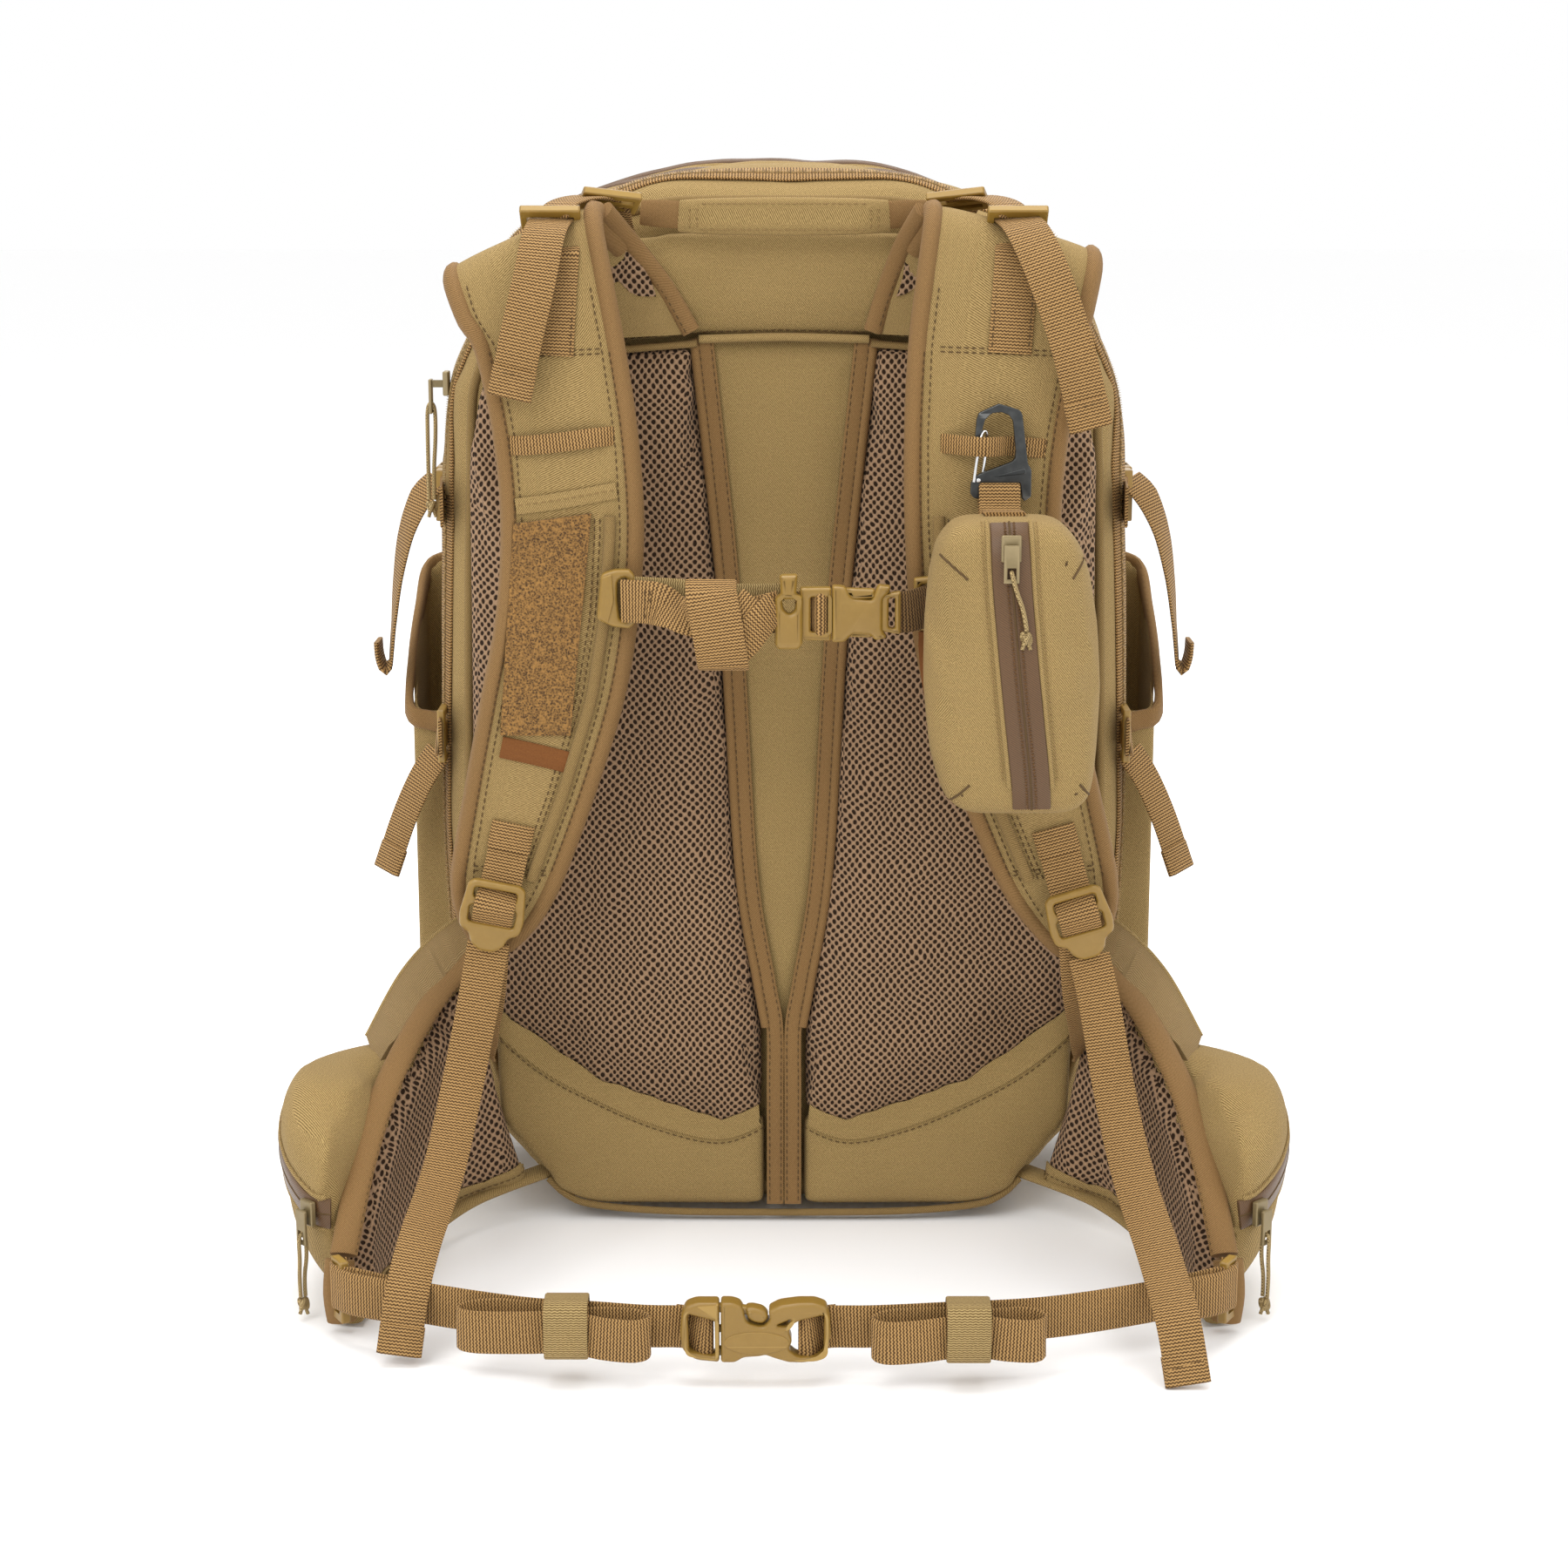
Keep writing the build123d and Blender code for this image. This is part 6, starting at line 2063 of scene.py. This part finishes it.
@dataclass
class SternumHardware:
    """Clips, whistle and side-release buckle of the chest strap."""

    depth: float = -178.0

    def build(self) -> None:
        """Builds each moulded part of the chest strap."""
        clip = [(-85, 346.3), (-78.5, 348.4), (-71.8, 348.2), (-69.4, 345.4), (-69.6, 322.8), (-72, 320.6),
                (-80, 321.6),
                (-87.2, 325)]
        slot = [(-77.3, 343.6), (-72.8, 344.8), (-72.8, 324.2), (-76.4, 324.6), (-77.6, 334)]
        left = moulding("left", [clip, slot], (0, -168.6, 0), 6.4, 1.6, radius=2.0)
        facet = moulding("facet", [[(-84.5, 345), (-80, 346.5), (-79, 334), (-82, 323), (-86, 326)]],
                         (0, -171.9, 0), 1.6, 0.7)
        right_clip = [(60.5, 344), (73, 345.4), (73, 318.6), (60.5, 320)]
        right = moulding("right", [right_clip, [(63.5, 341), (67, 341.6), (67, 322.4), (63.5, 323)]],
                         (0, -167.6, 0), 6.0, 1.5)
        fit(join("sternum_strap_clips", left, facet, right), "sternum_strap", MUSTARD,
            ["sternum_clips"])
        shape = [(-2.0, 347.4), (6.3, 347.6), (5.6, 338.6), (8.4, 337.6), (8.6, 315), (6.6, 312.8),
                 (-2.6, 312.8), (-4.4, 315),
                 (-4.2, 336.6), (-1.6, 338.6)]
        window = [(-1.0, 336.2), (5.9, 336.2), (5.0, 331.0), (2.4, 329.2), (-0.2, 331.2)]
        tube = moulding("tube", [shape, window], (0, -180, 0), 8.6, 2.4, radius=1.4)
        fit(tube, "sternum_plug", MUSTARD, ["whistle"])
        tube.name = "sternum_whistle"
        holder = [(7.4, 341.2), (21.8, 341.4), (21.8, 316.6), (7.4, 317)]
        hole = [(12.2, 337), (20.6, 337), (20.6, 320.6), (12.2, 320.6)]
        frame_piece = moulding("frame", [holder, hole], (0, self.depth, 0), 7.4, 1.5)
        upper = moulding("upper", [[(28, 341), (42, 340.6), (42.6, 336.4), (31, 335.2)]],
                         (0, self.depth, 0), 6.4, 1.9)
        lower = moulding("lower", [[(30, 318.4), (40.6, 318.0), (41, 321), (31, 321.4)]],
                         (0, self.depth, 0), 6.4, 1.3)
        fit(join("sternum_buckle_plug", frame_piece, upper, lower), "sternum_plug", MUSTARD,
            ["sternum_plug"])
        body = [(22.2, 342.4), (28.4, 341.8), (31.6, 336.2), (40.7, 335.6), (43.4, 342.6), (49.4, 342),
                (48.4, 339), (45.6, 336),
                (45.6, 321.4), (48, 318), (42.2, 316.6), (40, 319.6), (32, 320), (28, 316), (22.2, 315.8)]
        shell = moulding("shell", [body], (0, self.depth, 0), 8.6, 2.0, radius=1.6)
        bar = moulding("bar", [[(45, 338), (54, 339.5), (54, 319.5), (45, 321)],
                               [(48.4, 336.4), (51.4, 337), (51.4, 322),
                               (48.4, 322.6)]], (0, self.depth, 0), 6.4, 1.2)
        fit(join("sternum_buckle_socket", shell, bar), "sternum_strap", MUSTARD,
            ["sternum_socket"])
        loop = looped("sternum_plug_loop", run((5, -176, 329), (12.5, -176.5, 329), (16.4, -181.6, 329),
                                               (20, -178.5, 329),
                                               (17, -174.5, 329), (6, -173.5, 329)), UP, 0.0195, 0.0018,
                                               0.0015)
        fit(loop, "sternum_plug", WEBBING)


@dataclass
class Carabiner:
    """Flat machined hook with a bevelled edge and a double wire gate."""

    depth: float = -167.0

    def build(self) -> None:
        """Builds the hook and its gate."""
        hook = [(98.8, 424.8), (108.4, 421.9), (109.6, 419.9), (112.5, 397.2), (114.2, 394.5),
                (114.2, 382.0), (111, 379.8),
                (109.9, 381.2), (109.2, 388.4), (90.7, 388.4), (90.3, 381.2), (87.9, 381.2), (86.1, 383.4),
                (86.4, 388.5),
                (88.8, 391.6), (90.2, 392.5), (105.1, 398.1), (106.6, 399.8), (106.8, 403.4),
                (105.3, 417.0), (103.4, 419.6),
                (99.9, 420.9), (95.5, 420.4), (92.4, 417.4), (90.9, 411.4), (89.6, 408.7), (88.0, 409.4),
                (88.6, 417.6),
                (89.6, 420.6)]
        body = moulding("hook", [hook], (0, self.depth, 0), 4.2, 0.5, radius=0.8)
        wedge = moulding("wedge", [[(96.5, 391.2), (111.4, 395.2), (111.8, 392.6)]],
                         (0, self.depth - 2.05, 0), 0.7, 0.25)
        fit(join("carabiner_hook", body, wedge), "carabiner", CARABINER, ["carabiner_body"])
        wire = run((87.6, -169.6, 388.9), (88.6, -169.3, 397), (90.2, -168.4, 407), (91.2, -167.6, 411.0),
                   (92.6, -166.6, 412.2),
                   (93.6, -165.8, 410.4), (93.2, -165.2, 402), (91.8, -164.9, 391))
        rivet = moulding("rivet", [oval(89.8, 389.6, 1.0, 1.0)], (0, self.depth - 2.0, 0), 1.0, 0.3)
        fit(join("carabiner_wire", rope("wire", wire, 0.0007, step=0.002), rivet), "carabiner_gate",
            BRIGHT,
            ["carabiner_gate"])


# ---- studio -------------------------------------------------------------
@dataclass
class Studio:
    """Pale seamless floor, soft lights and the camera."""

    eye: tuple[float, float, float] = (0.0, -1.54, 0.55)
    pitch: float = 12.5
    lens: float = 68.3

    def build(self) -> None:
        """Sets up everything round the pack."""
        self.floor()
        self.light("key_panel", (-0.9, -1.6, 1.7), 1.3, 18.0)
        self.light("fill_panel", (1.3, -1.3, 1.1), 1.4, 6.0)
        self.light("top_panel", (0.0, 0.1, 2.0), 1.5, 26.0)
        self.light("rear_panel", (0.4, 1.6, 1.5), 1.6, 8.0)
        world = bpy.data.worlds.new("studio")
        world.use_nodes = True
        world.node_tree.nodes["Background"].inputs[0].default_value = (1, 1, 1, 1)
        world.node_tree.nodes["Background"].inputs[1].default_value = 1.0
        bpy.context.scene.world = world
        data = bpy.data.cameras.new("camera")
        data.lens = self.lens
        data.sensor_width = 36.0
        camera = bpy.data.objects.new("camera", data)
        camera.location = self.eye
        camera.rotation_euler = (math.radians(90 - self.pitch), 0, 0)
        bpy.context.scene.collection.objects.link(camera)
        bpy.context.scene.camera = camera
        bpy.context.scene.view_settings.view_transform = "Standard"

    def floor(self) -> None:
        """One pale sheet under the pack."""
        piece = new_piece("studio_floor", [Vector((x, y, 0)) for x,
                                           y in ((-9, -6), (9, -6), (9, 12), (-9, 12))],
                          [(0, 1, 2, 3)])
        material = bpy.data.materials.new("pale_floor")
        material.use_nodes = True
        shader = material.node_tree.nodes["Principled BSDF"]
        shader.inputs["Base Color"].default_value = (0.99, 0.99, 0.99, 1)
        shader.inputs["Roughness"].default_value = 0.9
        piece.data.materials.append(material)

    def light(self, name: str, place: tuple[float, float, float], size: float, power: float) -> None:
        """One soft panel aimed at the pack's middle."""
        data = bpy.data.lights.new(name, "AREA")
        data.size = size
        data.energy = power
        lamp = bpy.data.objects.new(name, data)
        lamp.location = place
        lamp.rotation_euler = (Vector((0, 0, 0.25)) - Vector(place)).to_track_quat("-Z", "Y").to_euler()
        bpy.context.scene.collection.objects.link(lamp)


LEFT_STRAP = ShoulderStrap(
    "left",
    ((-146, -98, 448), (-152, -103, 464), (-156, -115, 474), (-158, -128, 479), (-157, -141, 475),
     (-150.5, -149.5, 460),
     (-143, -152.5, 449), (-135, -154.5, 410), (-132, -155.3, 368), (-135, -155.5, 325), (-143, -154.5, 285),
     (-152, -152.5, 240), (-160, -149, 197), (-158, -146, 176), (-149, -143.5, 159)),
    ((-45, -98.5, 452), (-57, -100.5, 473), (-73, -110, 495), (-84, -128, 510), (-84.5, -141, 505),
     (-79.5, -149.5, 480),
     (-74, -152.5, 449), (-68.5, -154.5, 410), (-66, -155.3, 368), (-69, -155.5, 325), (-76, -154.5, 285),
     (-90, -152.5, 240), (-106, -149, 197), (-117, -146, 176), (-131, -143.5, 159)),
    (-104, -107),
    ((-107, -139, 508), (-110, -156, 501), (-114, -167, 480), (-120, -170, 455), (-126, -169, 428)),
    ((-129.5, -157.5, 222), (-132.5, -158.5, 208), (-135.5, -161.5, 195), (-137.4, -167.6, 188.5),
     (-138.6, -168.6, 183.5),
     (-139.8, -165.5, 177), (-141.5, -160.5, 170)),
    ((-142, -163, 166), (-146.5, -168, 140), (-154, -184, 100), (-160, -214, 70), (-167, -254, 50),
     (-171, -274, 32),
     (-174.5, -279.5, 6)),
    447)
RIGHT_STRAP = ShoulderStrap(
    "right",
    ((141, -98, 450), (144, -103, 472), (146, -115, 483), (147.5, -128, 487.5), (147, -141, 483),
     (143, -149.5, 466),
     (139, -152.5, 449), (132, -154.5, 410), (129, -155.3, 368), (132, -155.5, 325), (139, -154.5, 285),
     (150, -152.5, 240), (160, -149, 197), (160, -146, 176), (151, -143.5, 156)),
    ((43, -98.5, 452), (49.5, -100.5, 473), (57, -110, 494), (65, -128, 510), (65, -141, 505),
     (61.5, -149.5, 480),
     (58, -152.5, 449), (56.5, -154.5, 410), (57, -155.3, 368), (60, -155.5, 325), (68, -154.5, 285),
     (84, -152.5, 240), (102, -149, 197), (115, -146, 176), (132, -143.5, 156)),
    (107, 104),
    ((107, -139, 508), (112, -156, 502), (121, -168, 482), (132, -172, 450), (141, -171, 414)),
    ((129, -157.5, 220), (133, -158.5, 206), (136.8, -161.5, 192), (139.4, -167.6, 185), (141, -168.6, 179.5),
     (142.8, -165.5, 173), (144.5, -160.5, 166)),
    ((146.5, -163, 160), (151.5, -168, 138), (158, -186, 98), (164, -218, 68), (171, -260, 47),
     (176, -296, 28),
     (180, -304, 2.4)),
    448)
CORDS = (
    PullCord("pouch_cord", ((108, -231.8, 330), (107, -232.3, 338), (103, -231.8, 348), (101, -231.8, 356)),
             (0, -1, 0), 0.0566),
    PullCord("side_cord", ((-176, -58, 367), (-176, -58, 381), (-175, -60, 398), (-175, -59, 415)),
             (-1, 0, 0), 0.0987),
    PullCord("right_hip_cord", ((226.0, -227.0, 12.2), (226.4, -226.8, 21.2), (225.0, -227.9, 32.2),
                                (225.5, -227.4, 43.2)),
             (0.7145, -0.6997, 0), 0.0647),
    PullCord("left_hip_cord", ((-226.0, -227.0, 12.2), (-226.4, -226.8, 21.2), (-225.0, -227.9, 32.2),
                               (-225.5, -227.4, 43.2)), (-0.7145, -0.6997, 0), 0.0647))


def main() -> None:
    """Builds the backpack piece by piece."""
    Studio().build()
    for cord in CORDS:
        cord.build()
    bag, panel, belt, gear, pouch = Bag(), BackPanel(), HipBelt(), SideGear(), Pouch()
    stuff([*bag.soft, *panel.soft, *belt.wings, *belt.pockets, *gear.soft, *pouch.soft])
    straps = (LEFT_STRAP, RIGHT_STRAP)
    builders = {"bag": bag.build, "back panel": panel.build, "grab handle": GrabHandle().build,
                "left strap": LEFT_STRAP.build, "right strap": RIGHT_STRAP.build}
    for name, build in builders.items():
        build()
        LOG.info("built the %s", name)
    pads = [bpy.data.objects[f"{strap.side}_strap_pad"] for strap in straps]
    StrapDetails().build(*pads)
    for part in (SternumStrap(), SternumHardware(), HipBuckle(), Carabiner(), belt, gear, pouch, Hardware()):
        part.build()
        LOG.info("built the %s", type(part).__name__)


if __name__ == "__main__":
    logging.basicConfig(level=logging.INFO)
    main()
